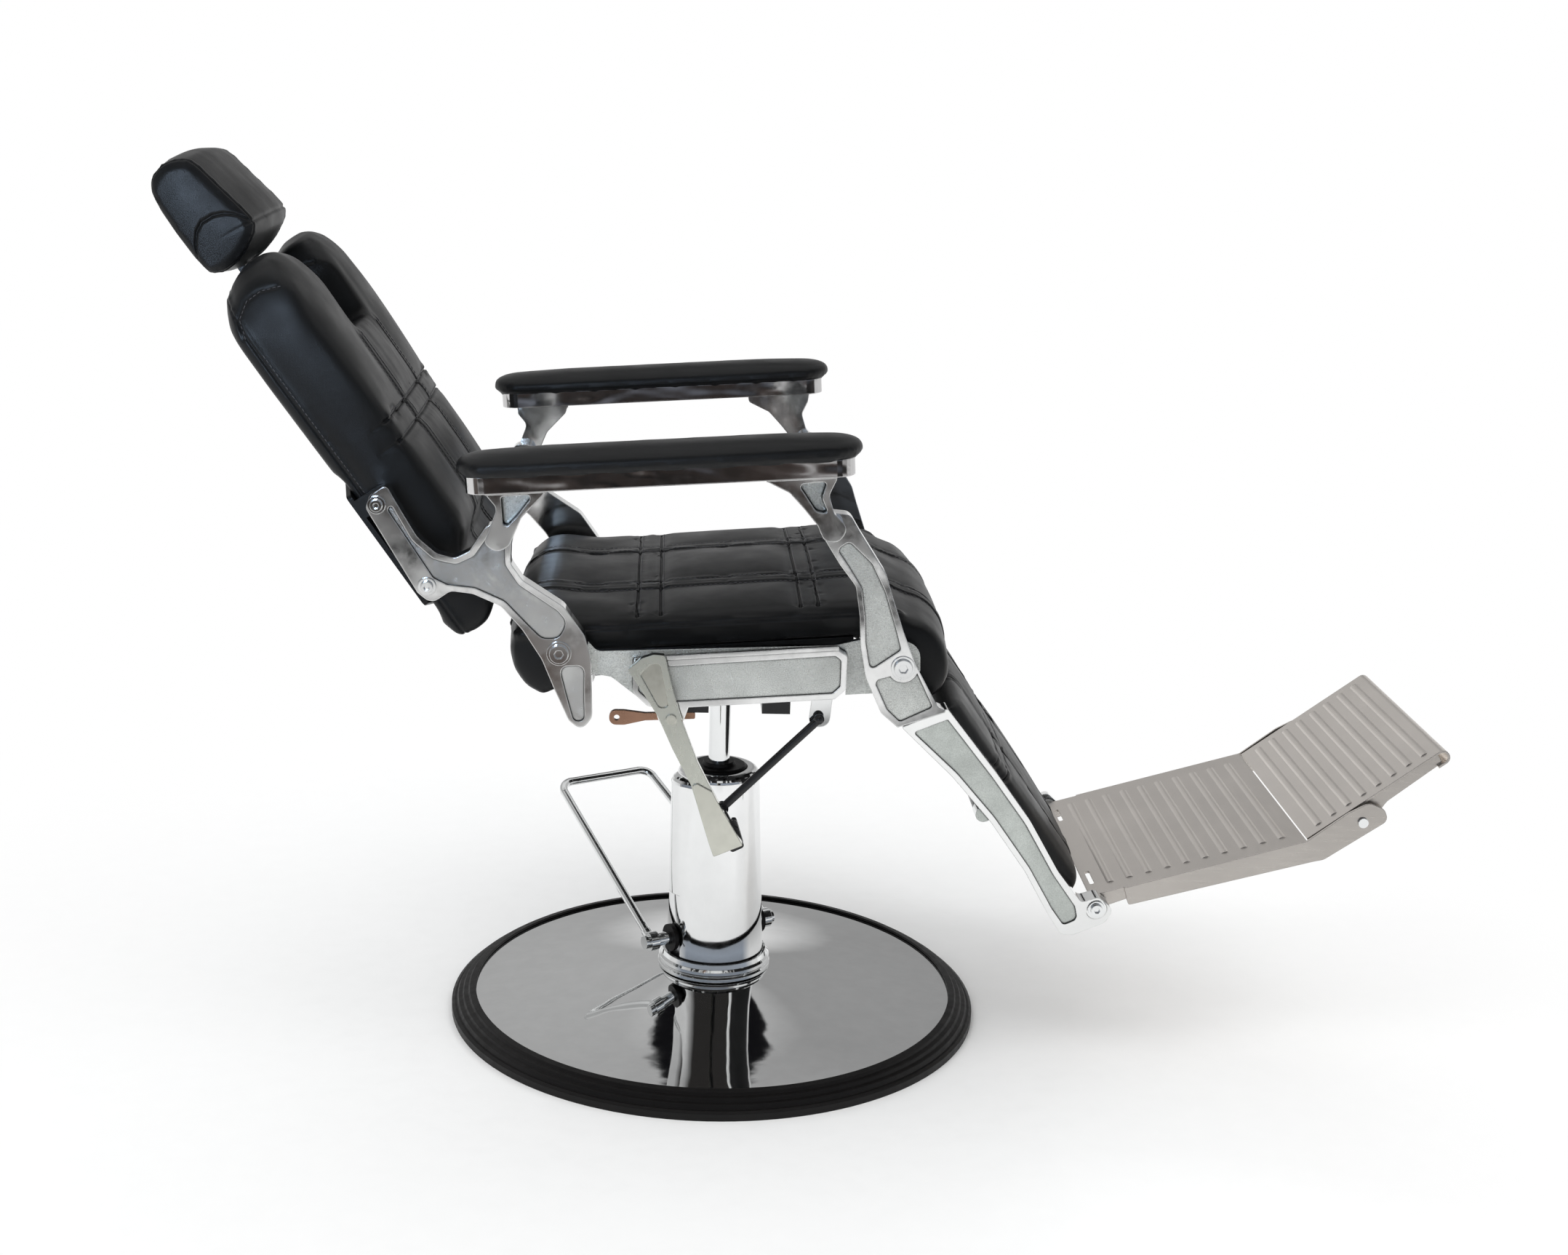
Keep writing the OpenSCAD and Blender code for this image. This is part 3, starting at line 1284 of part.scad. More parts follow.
flip_half_w = foot_half_w - 7;
flip_wall_y = flip_half_w - 4;
flip_pin_d = 8;
flip_end = flip_l - flip_back;

module flip_plate() {
  top = flip_drop;
  start = 1.8 - flip_back;
  color(nickel) in_flip() difference() {
    union() {
      ribs(start + 12, flip_end - 14, top, flip_ribs, flip_half_w - 16);
      translate([start, -flip_half_w, top - sheet_t]) cube([flip_end - 8 - start, 2 * flip_half_w, sheet_t]);
      // Rolled outer edge
      difference() {
        plate(rounded([[flip_end - 20, top, 0.1], [flip_end, top, 9], [flip_end, top - 19, 9],
          [flip_end - 20, top - 19, 0.1]]), -flip_half_w, flip_half_w);
        plate(rounded([[flip_end - 22, top - sheet_t, 0.1], [flip_end - sheet_t, top - sheet_t, 6],
          [flip_end - sheet_t, top - 16, 6], [flip_end - 22, top - 16, 0.1]]), -flip_half_w - 1, flip_half_w + 1);
      }
      for (side = [-1, 1]) {
        from = side < 0 ? -flip_wall_y : flip_wall_y - sheet_t;
        plate(rounded([[start, top - 1, 1], [start, top - 13, 5], [-30, 4, 8], [-12, -10, 9], [12, -10, 9],
          [40, 1, 20], [flip_end - 12, 4, 4], [flip_end - 12, top - 1, 1]]), from, from + sheet_t);
      }
    }
    bar_y([0, 0], flip_pin_d + 2 * run_gap, -flip_half_w, flip_half_w);
  }
}

module flip_pins() {
  color(chrome) in_flip() for (left = [false, true]) on_side(left) {
    bar_y([0, 0], flip_pin_d, -foot_half_w - 0.5, -flip_wall_y + sheet_t + 2);
    bar_y([0, 0], flip_pin_d + 5, -foot_half_w - 3, -foot_half_w - 0.4);
  }
}

// ---- Recline lever --------------------------------------------------------

lever_pin_d = 10;
lever_in = rail_face + 8;
lever_out = lever_in + 10;
lever_outline = moved([
  [-52, 60, 2], [-36, 74, 8], [-22, 79, 6], [-9, 78, 3], [-1, 45, 40], [12, 0, 40], [33, -54, 30], [56, -99, 40],
  [89, -156, 2], [54, -171, 2], [48, -154, 10], [34, -109, 30], [25, -81, 8], [2, -36, 30], [-16, 4, 20],
  [-33, 31, 20]
], lever_pivot);
lever_panel = moved([[-38, 55, 5], [-26, 67, 5], [-14, 69, 5], [-8, 40, 10], [-3, 14, 7], [-15, 14, 7]],
  lever_pivot);
lever_foot = moved([
  [33, -79, 2], [51, -89, 2], [56, -99, 40], [89, -156, 2], [54, -171, 2], [48, -154, 10], [34, -109, 30],
  [27, -81, 2]
], lever_pivot);
release_pin = lever_pivot + [64, -120];

module recline_lever() {
  color(nickel) difference() {
    union() {
      plate(rounded(lever_outline), -lever_out, -lever_in);
      plate(rounded(lever_foot), -lever_out - 2, -lever_in);
      bar_y(lever_pivot, lever_pin_d + 8, -lever_in - 1, -rail_face - 0.4);
      bar_y(lever_pivot, lever_pin_d + 3, -lever_out - 1.5, -lever_in);
      bar_y(lever_pivot, lever_pin_d, -rail_face - 2, -rail_in + 1);
    }
    plate(rounded(lever_panel), -lever_out - through, -lever_out + recess);
  }
}

release_eye_y = 250;
module release_arm() {
  color(black) {
    plate(rounded(moved([[-16, -4, 3], [4, 4, 3], [28, -42, 4], [12, -50, 4]], release_pin)),
      -lever_in, -lever_in + 4);
    bar_y(release_pin, 7, -lever_in + 1, -release_eye_y + 9);
    for (y = [-lever_in + 4, -lever_in + 12])
      plate(rounded(moved([[10, -10, 3], [17, -10, 3], [27, -42, 3], [20, -45, 3]], release_pin)), y, y + 3.5);
    plate(rounded(moved([[14, -18, 2], [19, -18, 2], [24, -36, 2], [19, -38, 2]], release_pin)),
      -lever_in + 2, -lever_in + 15);
  }
}

crank_pivot = front_pivot + [-89, -22];
crank_eye = crank_pivot + [-7, -49];
crank_pin_d = 12;
rod_d = 10;
rod_tip_d = 7;

module lever_rod() {
  way = unit(crank_eye - release_pin);
  reach = norm(crank_eye - release_pin);
  color(black) {
    difference() {
      bar_y(release_pin, 15, -release_eye_y - 4.5, -release_eye_y + 4.5);
      bar_y(release_pin, 7 + 2 * run_gap, -release_eye_y - 6, -release_eye_y + 6);
    }
    translate([release_pin.x, -release_eye_y, release_pin.y]) rotate([0, 90 - atan2(way.y, way.x), 0])
      translate([0, 0, 6]) cylinder(d = rod_d, h = reach - 6);
    translate([crank_eye.x, -release_eye_y, crank_eye.y]) sphere(d = rod_d + 3);
    bar_y(crank_eye, rod_tip_d, -release_eye_y, -rail_in - 1);
  }
}

crank_y = rail_out - 2;
crank_bore = 8.5;
lock_y = 100;
module release_crank() {
  color(chrome) difference() {
    union() {
      plate(rounded([[crank_pivot.x - 12, crank_pivot.y + 12, 11], [crank_pivot.x + 12, crank_pivot.y + 12, 11],
        [crank_eye.x + 13, crank_eye.y - 12, 12], [crank_eye.x - 13, crank_eye.y - 12, 12]]),
        -crank_y, -crank_y + 6);
      bar_y(crank_pivot, crank_pin_d, -rail_out - crank_bore + 1, -lock_y + lock_ear_in + lock_ear_t + 1);
    }
    bar_y(crank_eye, rod_tip_d + 1.6, -crank_y - 1, -crank_y + 7);
  }
}

// ---- Recline lock ---------------------------------------------------------

lock_front = crank_pivot;
lock_eye = tail_pin + [-1, 3.4];
lock_run = norm(lock_eye - lock_front);
lock_turn = atan2(lock_eye.y - lock_front.y, lock_eye.x - lock_front.x);
lock_d = 28;
lock_rod_d = 10;
lock_tube_l = 125;
lock_open = 4;

// Lock frame: origin on the front pivot, +X along the lock
module in_lock() {
  translate([lock_front.x, -lock_y, lock_front.y]) rotate([0, -lock_turn, 0]) children();
}

module lock_cylinder() {
  color(black) in_lock() difference() {
    union() {
      bar_x(lock_d, 16, lock_tube_l);
      bar_x(16, 6, 18);
      bar_y([0, 0], 22, -lock_ear_in + 0.5, lock_ear_in - 0.5);
    }
    bar_y([0, 0], crank_pin_d + 2 * run_gap, -lock_ear_in, lock_ear_in);
    bar_x(lock_rod_d + 2 * run_gap, 30, lock_tube_l + 1);
  }
}

module lock_rod() {
  inner = 78;
  color(chrome) in_lock() difference() {
    union() {
      bar_x(lock_rod_d, inner, lock_run - tail_d / 2 - lock_open - 1);
      bar_y([lock_run, 0], tail_d + 2 * lock_open + 10, -6, 6);
    }
    bar_y([lock_run, 0], tail_d + 2 * lock_open, -10, 10);
  }
}

base_ring();
base_dome();
ballast_plate();
foot_collar();
pump_block();
pump_cylinder();
pump_shroud();
ram_gland();
shaft_bushes();
pedal_shaft();
pedal_loop();
pump_plunger();
pump_spring();
ram_piston();
ram();
swivel_plate();
frame_bars();
rail_right();
rail_left();
seat_board();
seat_cushion();
pivot_bolts();
back_stop();
back_casting_right();
back_casting_left();
casting_bolts();
arm_pins();
tail_rod();
back_panel();
back_cushion();
headrest_socket();
arm_bracket_rear_right();
arm_bracket_rear_left();
arm_bracket_front_right();
arm_bracket_front_left();
arm_tray_right();
arm_tray_left();
arm_pad_right();
arm_pad_left();
rocker_right();
rocker_left();
rocker_pins();
leg_rail_right();
leg_rail_left();
leg_bar();
leg_board();
leg_cushion();
foot_bolts();
footplate();
flip_plate();
flip_pins();
headrest_post();
headrest_hinge();
headrest_cushion();
recline_lever();
release_arm();
lever_rod();
release_crank();
lock_cylinder();
lock_rod();
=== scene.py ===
import json
import math

import bmesh
import bpy
import numpy as np
from mathutils import Matrix, Vector
from mathutils.bvhtree import BVHTree

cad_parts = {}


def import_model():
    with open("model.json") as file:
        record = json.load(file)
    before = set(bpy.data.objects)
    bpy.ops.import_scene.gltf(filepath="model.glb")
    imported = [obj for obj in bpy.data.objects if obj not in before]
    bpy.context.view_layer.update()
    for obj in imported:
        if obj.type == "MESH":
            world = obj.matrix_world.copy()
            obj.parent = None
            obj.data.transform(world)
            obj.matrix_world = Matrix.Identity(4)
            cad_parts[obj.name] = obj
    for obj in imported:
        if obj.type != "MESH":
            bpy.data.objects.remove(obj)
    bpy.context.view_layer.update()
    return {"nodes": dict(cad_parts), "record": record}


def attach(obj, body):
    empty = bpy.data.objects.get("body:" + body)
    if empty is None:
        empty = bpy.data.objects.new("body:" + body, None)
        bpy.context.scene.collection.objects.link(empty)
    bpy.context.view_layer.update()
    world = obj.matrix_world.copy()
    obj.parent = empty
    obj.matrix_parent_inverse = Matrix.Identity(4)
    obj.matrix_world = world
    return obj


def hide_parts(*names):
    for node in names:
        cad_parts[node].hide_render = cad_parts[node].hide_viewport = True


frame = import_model()
NODES = frame["nodes"]
scene = bpy.context.scene
scene.view_settings.view_transform = "Standard"

# ---- Camera ----------------------------------------------------------------
# Solved from the photo: the base's ellipse, the column's verticals and the pieces that both sides have.
YAW, PITCH, ROLL = map(math.radians, (-3.32, 14.98, 1.97))
CAMERA_AT = (-0.0832, -2.8087, 1.2778)
FOCAL_PX = 3082.7
PHOTO_WIDTH_PX = 2156
SENSOR_MM = 36

right = Vector((math.cos(YAW), math.sin(YAW), 0))
ahead = Vector((-math.sin(YAW) * math.cos(PITCH), math.cos(YAW) * math.cos(PITCH), -math.sin(PITCH)))
up = right.cross(ahead)
side_axis = right * math.cos(ROLL) + up * math.sin(ROLL)
up_axis = up * math.cos(ROLL) - right * math.sin(ROLL)
turned = Matrix((side_axis, up_axis, -ahead)).transposed().to_4x4()
camera = bpy.data.objects.new("Camera", bpy.data.cameras.new("Camera"))
scene.collection.objects.link(camera)
camera.matrix_world = Matrix.Translation(CAMERA_AT) @ turned
camera.data.sensor_width = SENSOR_MM
camera.data.lens = FOCAL_PX / PHOTO_WIDTH_PX * SENSOR_MM
camera.data.clip_end = 60
scene.camera = camera


# ---- Node helpers ----------------------------------------------------------
class Net:
    """Short calls for building a node tree. A value may be a number, a socket or a node."""

    def __init__(self, tree):
        self.t = tree
        tree.nodes.clear()

    def add(self, kind, **put):
        n = self.t.nodes.new("ShaderNode" + kind)
        for k, v in put.items():
            setattr(n, k, v)
        return n

    def put(self, socket, v):
        if isinstance(v, bpy.types.NodeSocket):
            self.t.links.new(v, socket)
        elif isinstance(v, bpy.types.Node):
            self.t.links.new(v.outputs[0], socket)
        else:
            socket.default_value = v

    def math(self, op, a, b=0.0, clamp=False):
        n = self.add("Math", operation=op, use_clamp=clamp)
        self.put(n.inputs[0], a)
        self.put(n.inputs[1], b)
        return n.outputs[0]

    def halved(self, v):
        """-1 to 1 brought to 0 to 1, so that a ramp can read it."""
        return self.math("ADD", self.math("MULTIPLY", v, 0.5), 0.5)

    def vector(self, op, a, b=None):
        n = self.add("VectorMath", operation=op)
        self.put(n.inputs[0], a)
        if b is not None:
            self.put(n.inputs[1], b)
        return n.outputs["Value"] if op == "LENGTH" else n.outputs[0]

    def times(self, colour, factor):
        n = self.add("VectorMath", operation="SCALE")
        self.put(n.inputs[0], colour)
        self.put(n.inputs["Scale"], factor)
        return n.outputs[0]

    def axes(self, v):
        n = self.add("SeparateXYZ")
        self.put(n.inputs[0], v)
        return n.outputs

    def joined(self, x, y, z=0.0):
        n = self.add("CombineXYZ")
        for socket, v in zip(n.inputs, (x, y, z)):
            self.put(socket, v)
        return n.outputs[0]

    def ramp(self, fac, *stops):
        """Stops are (position, colour) or (position, grey)."""
        n = self.add("ValToRGB")
        self.put(n.inputs[0], fac)
        e = n.color_ramp.elements
        while len(e) < len(stops):
            e.new(0.5)
        for el, (pos, col) in zip(e, stops):
            el.position = pos
            el.color = (*col, 1) if hasattr(col, "__len__") else (col, col, col, 1)
        return n.outputs[0]

    def mix(self, fac, a, b, kind="RGBA"):
        n = self.add("Mix", data_type=kind)
        ins = [i for i in n.inputs if i.name in ("A", "B") and i.enabled]
        self.put(n.inputs[0], fac)
        self.put(ins[0], a)
        self.put(ins[1], b)
        return [o for o in n.outputs if o.enabled][0]

    def noise(self, scale, detail=3.0, rough=0.55, vector=None, dist=0.0):
        n = self.add("TexNoise")
        n.inputs["Scale"].default_value = scale
        n.inputs["Detail"].default_value = detail
        n.inputs["Roughness"].default_value = rough
        n.inputs["Distortion"].default_value = dist
        self.put(n.inputs["Vector"], vector if vector is not None else self.coords())
        return n.outputs["Fac"]

    def coords(self):
        if not hasattr(self, "tc"):
            self.tc = self.add("TexCoord")
        return self.tc.outputs["Object"]

    def stretched(self, scale):
        n = self.add("Mapping")
        n.inputs["Scale"].default_value = scale
        self.put(n.inputs["Vector"], self.coords())
        return n.outputs[0]

    def bump(self, height, dist, strength=1.0, normal=None):
        n = self.add("Bump")
        n.inputs["Strength"].default_value = strength
        n.inputs["Distance"].default_value = dist
        self.put(n.inputs["Height"], height)
        if normal is not None:
            self.put(n.inputs["Normal"], normal)
        return n.outputs[0]


def material(name, **values):
    """A new material, its net and its shader. Values go on the shader's own sockets, as metallic=1.0."""
    m = bpy.data.materials.new(name)
    m.use_nodes = True
    net = Net(m.node_tree)
    net.out = net.add("OutputMaterial")
    p = net.add("BsdfPrincipled")
    net.put(net.out.inputs[0], p)
    for k, v in values.items():
        p.inputs[k.replace("_", " ")].default_value = v
    return m, net, p


def rounded_normal(net, radius):
    """Softens every hard edge by that radius, in metres."""
    b = net.add("Bevel", samples=4)
    b.inputs["Radius"].default_value = radius
    return b.outputs[0]


def painted_corner_shade(net, colour, reach=0.003):
    """Painted shade: the colour darkened in the inner corners of one part, by ambient occlusion up to reach
    metres out of the corner.
    """
    ao = net.add("AmbientOcclusion", samples=12, only_local=True)
    ao.inputs["Distance"].default_value = reach
    return net.times(colour, net.ramp(ao.outputs["AO"], (0.58, 0.03), (0.92, 1.0)))


def scaled(colour, k):
    return [c * k for c in colour]


# ---- Materials ---------------------------------------------------------------
def polished(name, colour, rough, edge=0.0012, wave=0.0, swell=(9, 9, 9), corner_shade_reach=0.0):
    """Bright metal. edge rounds its corners, wave and swell are the depth and density of slow waves, and the
    last argument, if given, is how far painted shade reaches out of its inner corners.
    """
    m, n, p = material(name, Metallic=1.0)
    tone = n.ramp(n.noise(38, 4), (0.35, scaled(colour, 0.96)), (0.7, colour))
    # Painted shade darkens the colour in the inner corners when a reach is given.
    n.put(p.inputs["Base Color"], painted_corner_shade(n, tone, corner_shade_reach) if corner_shade_reach else tone)
    n.put(p.inputs["Roughness"], n.ramp(n.noise(90, 4), (0.3, rough * 0.7), (0.75, rough * 1.5)))
    base = rounded_normal(n, edge)
    if wave:
        base = n.bump(n.noise(1, 2, vector=n.stretched(swell)), wave, 1.0, base)
    n.put(p.inputs["Normal"], base)
    return m


def blasted(name, colour, rough, metal, fleck):
    """Sand-blasted or hammered coat on cast aluminium: fine flecks and a dull sheen, with painted shade in
    its inner corners.
    """
    m, n, p = material(name, Metallic=metal)
    flecks = n.noise(800, 2, 0.6)
    lit = n.ramp(flecks, (0.34, 1 - fleck * 1.6), (0.52, 1.0), (0.66, 1 + fleck))
    tone = n.ramp(n.noise(14, 4, 0.6), (0.34, scaled(colour, 0.80)), (0.64, scaled(colour, 1.06)))
    # Painted shade darkens the colour in the inner corners.
    n.put(p.inputs["Base Color"], painted_corner_shade(n, n.times(tone, lit)))
    n.put(p.inputs["Roughness"], n.ramp(n.noise(60, 3), (0.3, rough * 0.85), (0.7, rough * 1.15)))
    n.put(p.inputs["Normal"], n.bump(flecks, 0.00022, 0.6, rounded_normal(n, 0.0016)))
    return m


def leather(name, colour):
    """Grained leather: warped cells for the pores and soft creases over them."""
    m, n, p = material(name, Specular_IOR_Level=0.27)
    cells = n.add("TexVoronoi", feature="DISTANCE_TO_EDGE")
    cells.inputs["Scale"].default_value = 620
    wobble = n.add("TexNoise")
    wobble.inputs["Scale"].default_value = 240
    n.put(wobble.inputs["Vector"], n.coords())
    n.put(cells.inputs["Vector"], n.vector("ADD", n.coords(), n.times(wobble.outputs["Color"], 0.0012)))
    pores = n.ramp(cells.outputs["Distance"], (0.0, 0.0), (0.35, 1.0))
    creases = n.noise(34, 5, 0.6, dist=0.6)
    tone = n.ramp(n.noise(7, 3), (0.3, scaled(colour, 0.8)), (0.75, scaled(colour, 1.5)))
    n.put(p.inputs["Base Color"], tone)
    n.put(p.inputs["Roughness"], n.ramp(n.noise(22, 4), (0.3, 0.34), (0.75, 0.47)))
    n.put(p.inputs["Normal"], n.bump(creases, 0.0007, 0.3, n.bump(pores, 0.00007, 0.6)))
    return m


def plain(name, colour, rough, metal=0.0, bump=0.0, scale=60, edge=0.0008, coat=0.0, spec=0.5):
    """Paint, rubber, thread or dull metal, with a slightly uneven tone and gloss."""
    m, n, p = material(name, Metallic=metal, Specular_IOR_Level=spec)
    tone = n.ramp(n.noise(scale * 0.4, 4), (0.3, scaled(colour, 0.88)), (0.72, scaled(colour, 1.12)))
    n.put(p.inputs["Base Color"], tone)
    n.put(p.inputs["Roughness"], n.ramp(n.noise(scale, 3), (0.3, rough * 0.85), (0.72, rough * 1.15)))
    if coat:
        p.inputs["Coat Weight"].default_value = coat
        p.inputs["Coat Roughness"].default_value = 0.1
    base = rounded_normal(n, edge) if edge else None
    if bump:
        base = n.bump(n.noise(scale * 12, 2, 0.6), bump, 0.6, base)
    if base is not None:
        n.put(p.inputs["Normal"], base)
    return m


def brushed(name, colour, rough, along):
    """Sheet with fine lines; along is the mapping scale, small along the lines."""
    m, n, p = material(name, Metallic=1.0)
    lines = n.noise(1.0, 3, 0.7, n.stretched(along))
    n.put(p.inputs["Base Color"], n.ramp(n.noise(9, 4), (0.3, scaled(colour, 0.93)), (0.75, colour)))
    n.put(p.inputs["Roughness"], n.ramp(lines, (0.3, rough * 0.85), (0.7, rough * 1.2)))
    n.put(p.inputs["Normal"], n.bump(lines, 0.000004, 0.5, rounded_normal(n, 0.0014)))
    return m


DOME_HOLE = 0.066
DOME_REACH = 0.256
DOME_RISE = 0.1992


def dome_sheet(name, colour, rough):
    """Spun sheet. Its shading follows the smooth curve of the spinning, steep at the column's hole and flat
    at the edge, and not the CAD profile's short straight bands. Lips and walls keep their own normal."""
    m, n, p = material(name, Metallic=1.0)
    n.put(p.inputs["Base Color"], n.ramp(n.noise(38, 4), (0.35, scaled(colour, 0.95)), (0.7, colour)))
    n.put(p.inputs["Roughness"], n.ramp(n.noise(90, 4), (0.3, rough * 0.7), (0.75, rough * 1.5)))
    at = n.axes(n.coords())
    radius = n.vector("LENGTH", n.joined(at[0], at[1]))
    gone = n.math("DIVIDE", n.math("SUBTRACT", radius, DOME_HOLE), DOME_REACH)
    share = n.math("SUBTRACT", 1.0, gone, True)
    slope = n.math("DIVIDE", n.math("MULTIPLY", n.math("SQRT", share), DOME_RISE), radius)
    tilt = n.joined(n.math("MULTIPLY", at[0], slope), n.math("MULTIPLY", at[1], slope), 1.0)
    spun = n.vector("NORMALIZE", tilt)
    top = n.math("GREATER_THAN", n.axes(n.add("NewGeometry").outputs["Normal"])[2], 0.7)
    chosen = n.mix(top, rounded_normal(n, 0.0014), spun, "VECTOR")
    n.put(p.inputs["Normal"], n.bump(n.noise(9, 2), 0.0005, 1.0, chosen))
    return m


BRIGHT = (0.84, 0.845, 0.845)
CHROME = polished("chrome", (0.80, 0.81, 0.81), 0.045)
DOME = dome_sheet("chrome_dome", BRIGHT, 0.03)
CHROME_SHEET = polished("chrome_sheet", BRIGHT, 0.035, 0.0014, 0.0006)
# The arm trays get a darker copy of the chrome: painted shade.
TRAY = polished("chrome_tray", (0.70, 0.69, 0.69), 0.05, 0.0018, 0.0012, (7, 7, 16))
SATIN = blasted("cast_blasted", (0.67, 0.69, 0.665), 0.28, 0.65, 0.17)
# SHADED is a darker copy of SATIN for the leg rails' recesses: painted shade.
SHADED = blasted("cast_blasted_leg", (0.52, 0.55, 0.525), 0.30, 0.6, 0.10)
SMOOTH = polished("cast_smooth", (0.78, 0.79, 0.78), 0.20, 0.0016, 0.0070, (6, 6, 6), 0.003)
GLOSS = polished("cast_polished", (0.84, 0.845, 0.84), 0.08, 0.0018, 0.0009, (9, 9, 9), 0.004)
LEATHER = leather("black_leather", (0.0046, 0.0049, 0.0053))
THREAD = plain("thread", (0.065, 0.065, 0.070), 0.6, scale=400, edge=0.0, spec=0.2)
FLANGE = brushed("nickel_flange", (0.50, 0.47, 0.44), 0.30, (30, 420, 420))
LEVER = brushed("nickel_lever", (0.60, 0.61, 0.55), 0.28, (160, 160, 60))
LEVER_RIM = polished("nickel_rim", (0.58, 0.58, 0.52), 0.16, 0.0016)
MATERIALS = {
    "rubber": plain("rubber", (0.006, 0.0055, 0.0055), 0.45, bump=0.00005, scale=90, edge=0.0015, spec=0.22),
    "steel": plain("machined_steel", (0.42, 0.43, 0.45), 0.32, 1.0),
    "black_steel": plain("black_enamel", (0.01, 0.01, 0.011), 0.3, coat=0.2, scale=80, edge=0.001, spec=0.35),
    "board": LEATHER,
    "upholstery": LEATHER,
    "brass": plain("copper_plate", (0.36, 0.21, 0.145), 0.26, 1.0, edge=0.001),
    "nickel": brushed("nickel_sheet", (0.90, 0.85, 0.80), 0.36, (420, 30, 420)),
    "chrome": CHROME,
    "satin": GLOSS,
}
OWN_MATERIAL = {"base_dome": DOME, "pump_shroud": CHROME_SHEET, "arm_tray_right": TRAY, "arm_tray_left": TRAY}
for row in frame["record"]["subparts"]:
    o = NODES[row["node"]]
    o.data.materials.clear()
    o.data.materials.append(OWN_MATERIAL.get(row["node"]) or MATERIALS[row["material_slot"]])

# The leg rails draw in from 256 to 190 mm over 357 mm, and lean by the same angle as the back.
SPLAY = math.atan((256 - 190) / 357)
LEAN_DEG = 35
LEAN = math.radians(LEAN_DEG)
RAIL_OUT = (math.sin(SPLAY) * math.sin(LEAN), -math.cos(SPLAY), -math.sin(SPLAY) * math.cos(LEAN))
OUT = (0, -1, 0)
SAME_WAY = 0.985
RIM_EDGE = 0.0008


def dot(a, b):
    return a[0] * b[0] + a[1] * b[1] + a[2] * b[2]


def recess(node, out, rim, deep, rim_material=GLOSS, floor_material=SATIN):
    """On both sides of the piece, the faces that look along out and lie up to deep metres under the level
    of the rim get the recess's material."""
    me = NODES[node].data
    me.materials.clear()
    me.materials.append(rim_material)
    me.materials.append(floor_material)
    for p in me.polygons:
        for sign in (1, -1):
            way = (out[0], out[1] * sign, out[2])
            if dot(p.normal, way) > SAME_WAY and rim - deep < dot(p.center, way) < rim - RIM_EDGE:
                p.material_index = 1


for side in ("right", "left"):
    recess("rail_" + side, OUT, 0.262, 0.03)
    recess("rocker_" + side, OUT, 0.268, 0.004)
    recess("back_casting_" + side, OUT, 0.268, 0.004, GLOSS, SMOOTH)
    recess("leg_rail_" + side, RAIL_OUT, 0.2135, 0.02, GLOSS, SHADED)
    recess("arm_bracket_front_" + side, OUT, 0.2868, 0.02)
    recess("arm_bracket_rear_" + side, OUT, 0.2868, 0.02)
recess("recline_lever", OUT, 0.282, 0.003, LEVER_RIM, LEVER)

# The upright side flanges of both foot plates are brushed the other way, and darker: the darker colour is
# painted shade on the faces that look sideways.
SIDEWAYS = 0.9
for node in ("footplate", "flip_plate"):
    me = NODES[node].data
    me.materials.append(FLANGE)
    for p in me.polygons:
        if abs(p.normal[1]) > SIDEWAYS:
            p.material_index = 1


# ---- Mesh helpers ------------------------------------------------------------
def read(me, key):
    values = np.empty(len(me.vertices) * 3, np.float32)
    me.vertices.foreach_get(key, values)
    return values.reshape(-1, 3).astype(float)


def points(me):
    return read(me, "co")


def normals(me):
    me.update()
    return read(me, "normal")


def put_points(me, co):
    me.vertices.foreach_set("co", co.astype(np.float32).ravel())
    me.update()


def frame_of(origin, lean):
    """Local frame: origin in metres, X out of the front, Z up the part, leaning back by lean degrees."""
    a = math.radians(lean)
    m = Matrix(((math.cos(a), 0, -math.sin(a)), (0, 1, 0), (math.sin(a), 0, math.cos(a)))).to_4x4()
    m.translation = Vector(origin)
    return m


def evaluated_mesh(o):
    dg = bpy.context.evaluated_depsgraph_get()
    return bpy.data.meshes.new_from_object(o.evaluated_get(dg))


def modified(o, kind, **put):
    """The object's mesh replaced by the result of one modifier."""
    mod = o.modifiers.new("m", kind)
    for k, v in put.items():
        setattr(mod, k, v)
    me = evaluated_mesh(o)
    o.modifiers.clear()
    old = o.data
    o.data = me
    bpy.data.meshes.remove(old)


CLOTH_FRAMES = 20
EVEN_ROUNDS = 12
EVEN_SHARE = 0.6


def evened(me, moved, pinned):
    """Spreads each vertex's movement over its neighbours, so that the cover has no sharp wrinkles."""
    e = np.empty(len(me.edges) * 2, np.int32)
    me.edges.foreach_get("vertices", e)
    e = e.reshape(-1, 2)
    count = np.bincount(e.ravel(), minlength=len(me.vertices))[:, None]
    free = (1 - pinned)[:, None]
    for _ in range(EVEN_ROUNDS):
        total = np.zeros_like(moved)
        np.add.at(total, e[:, 0], moved[e[:, 1]])
        np.add.at(total, e[:, 1], moved[e[:, 0]])
        moved = moved + EVEN_SHARE * (total / count - moved) * free
    return moved


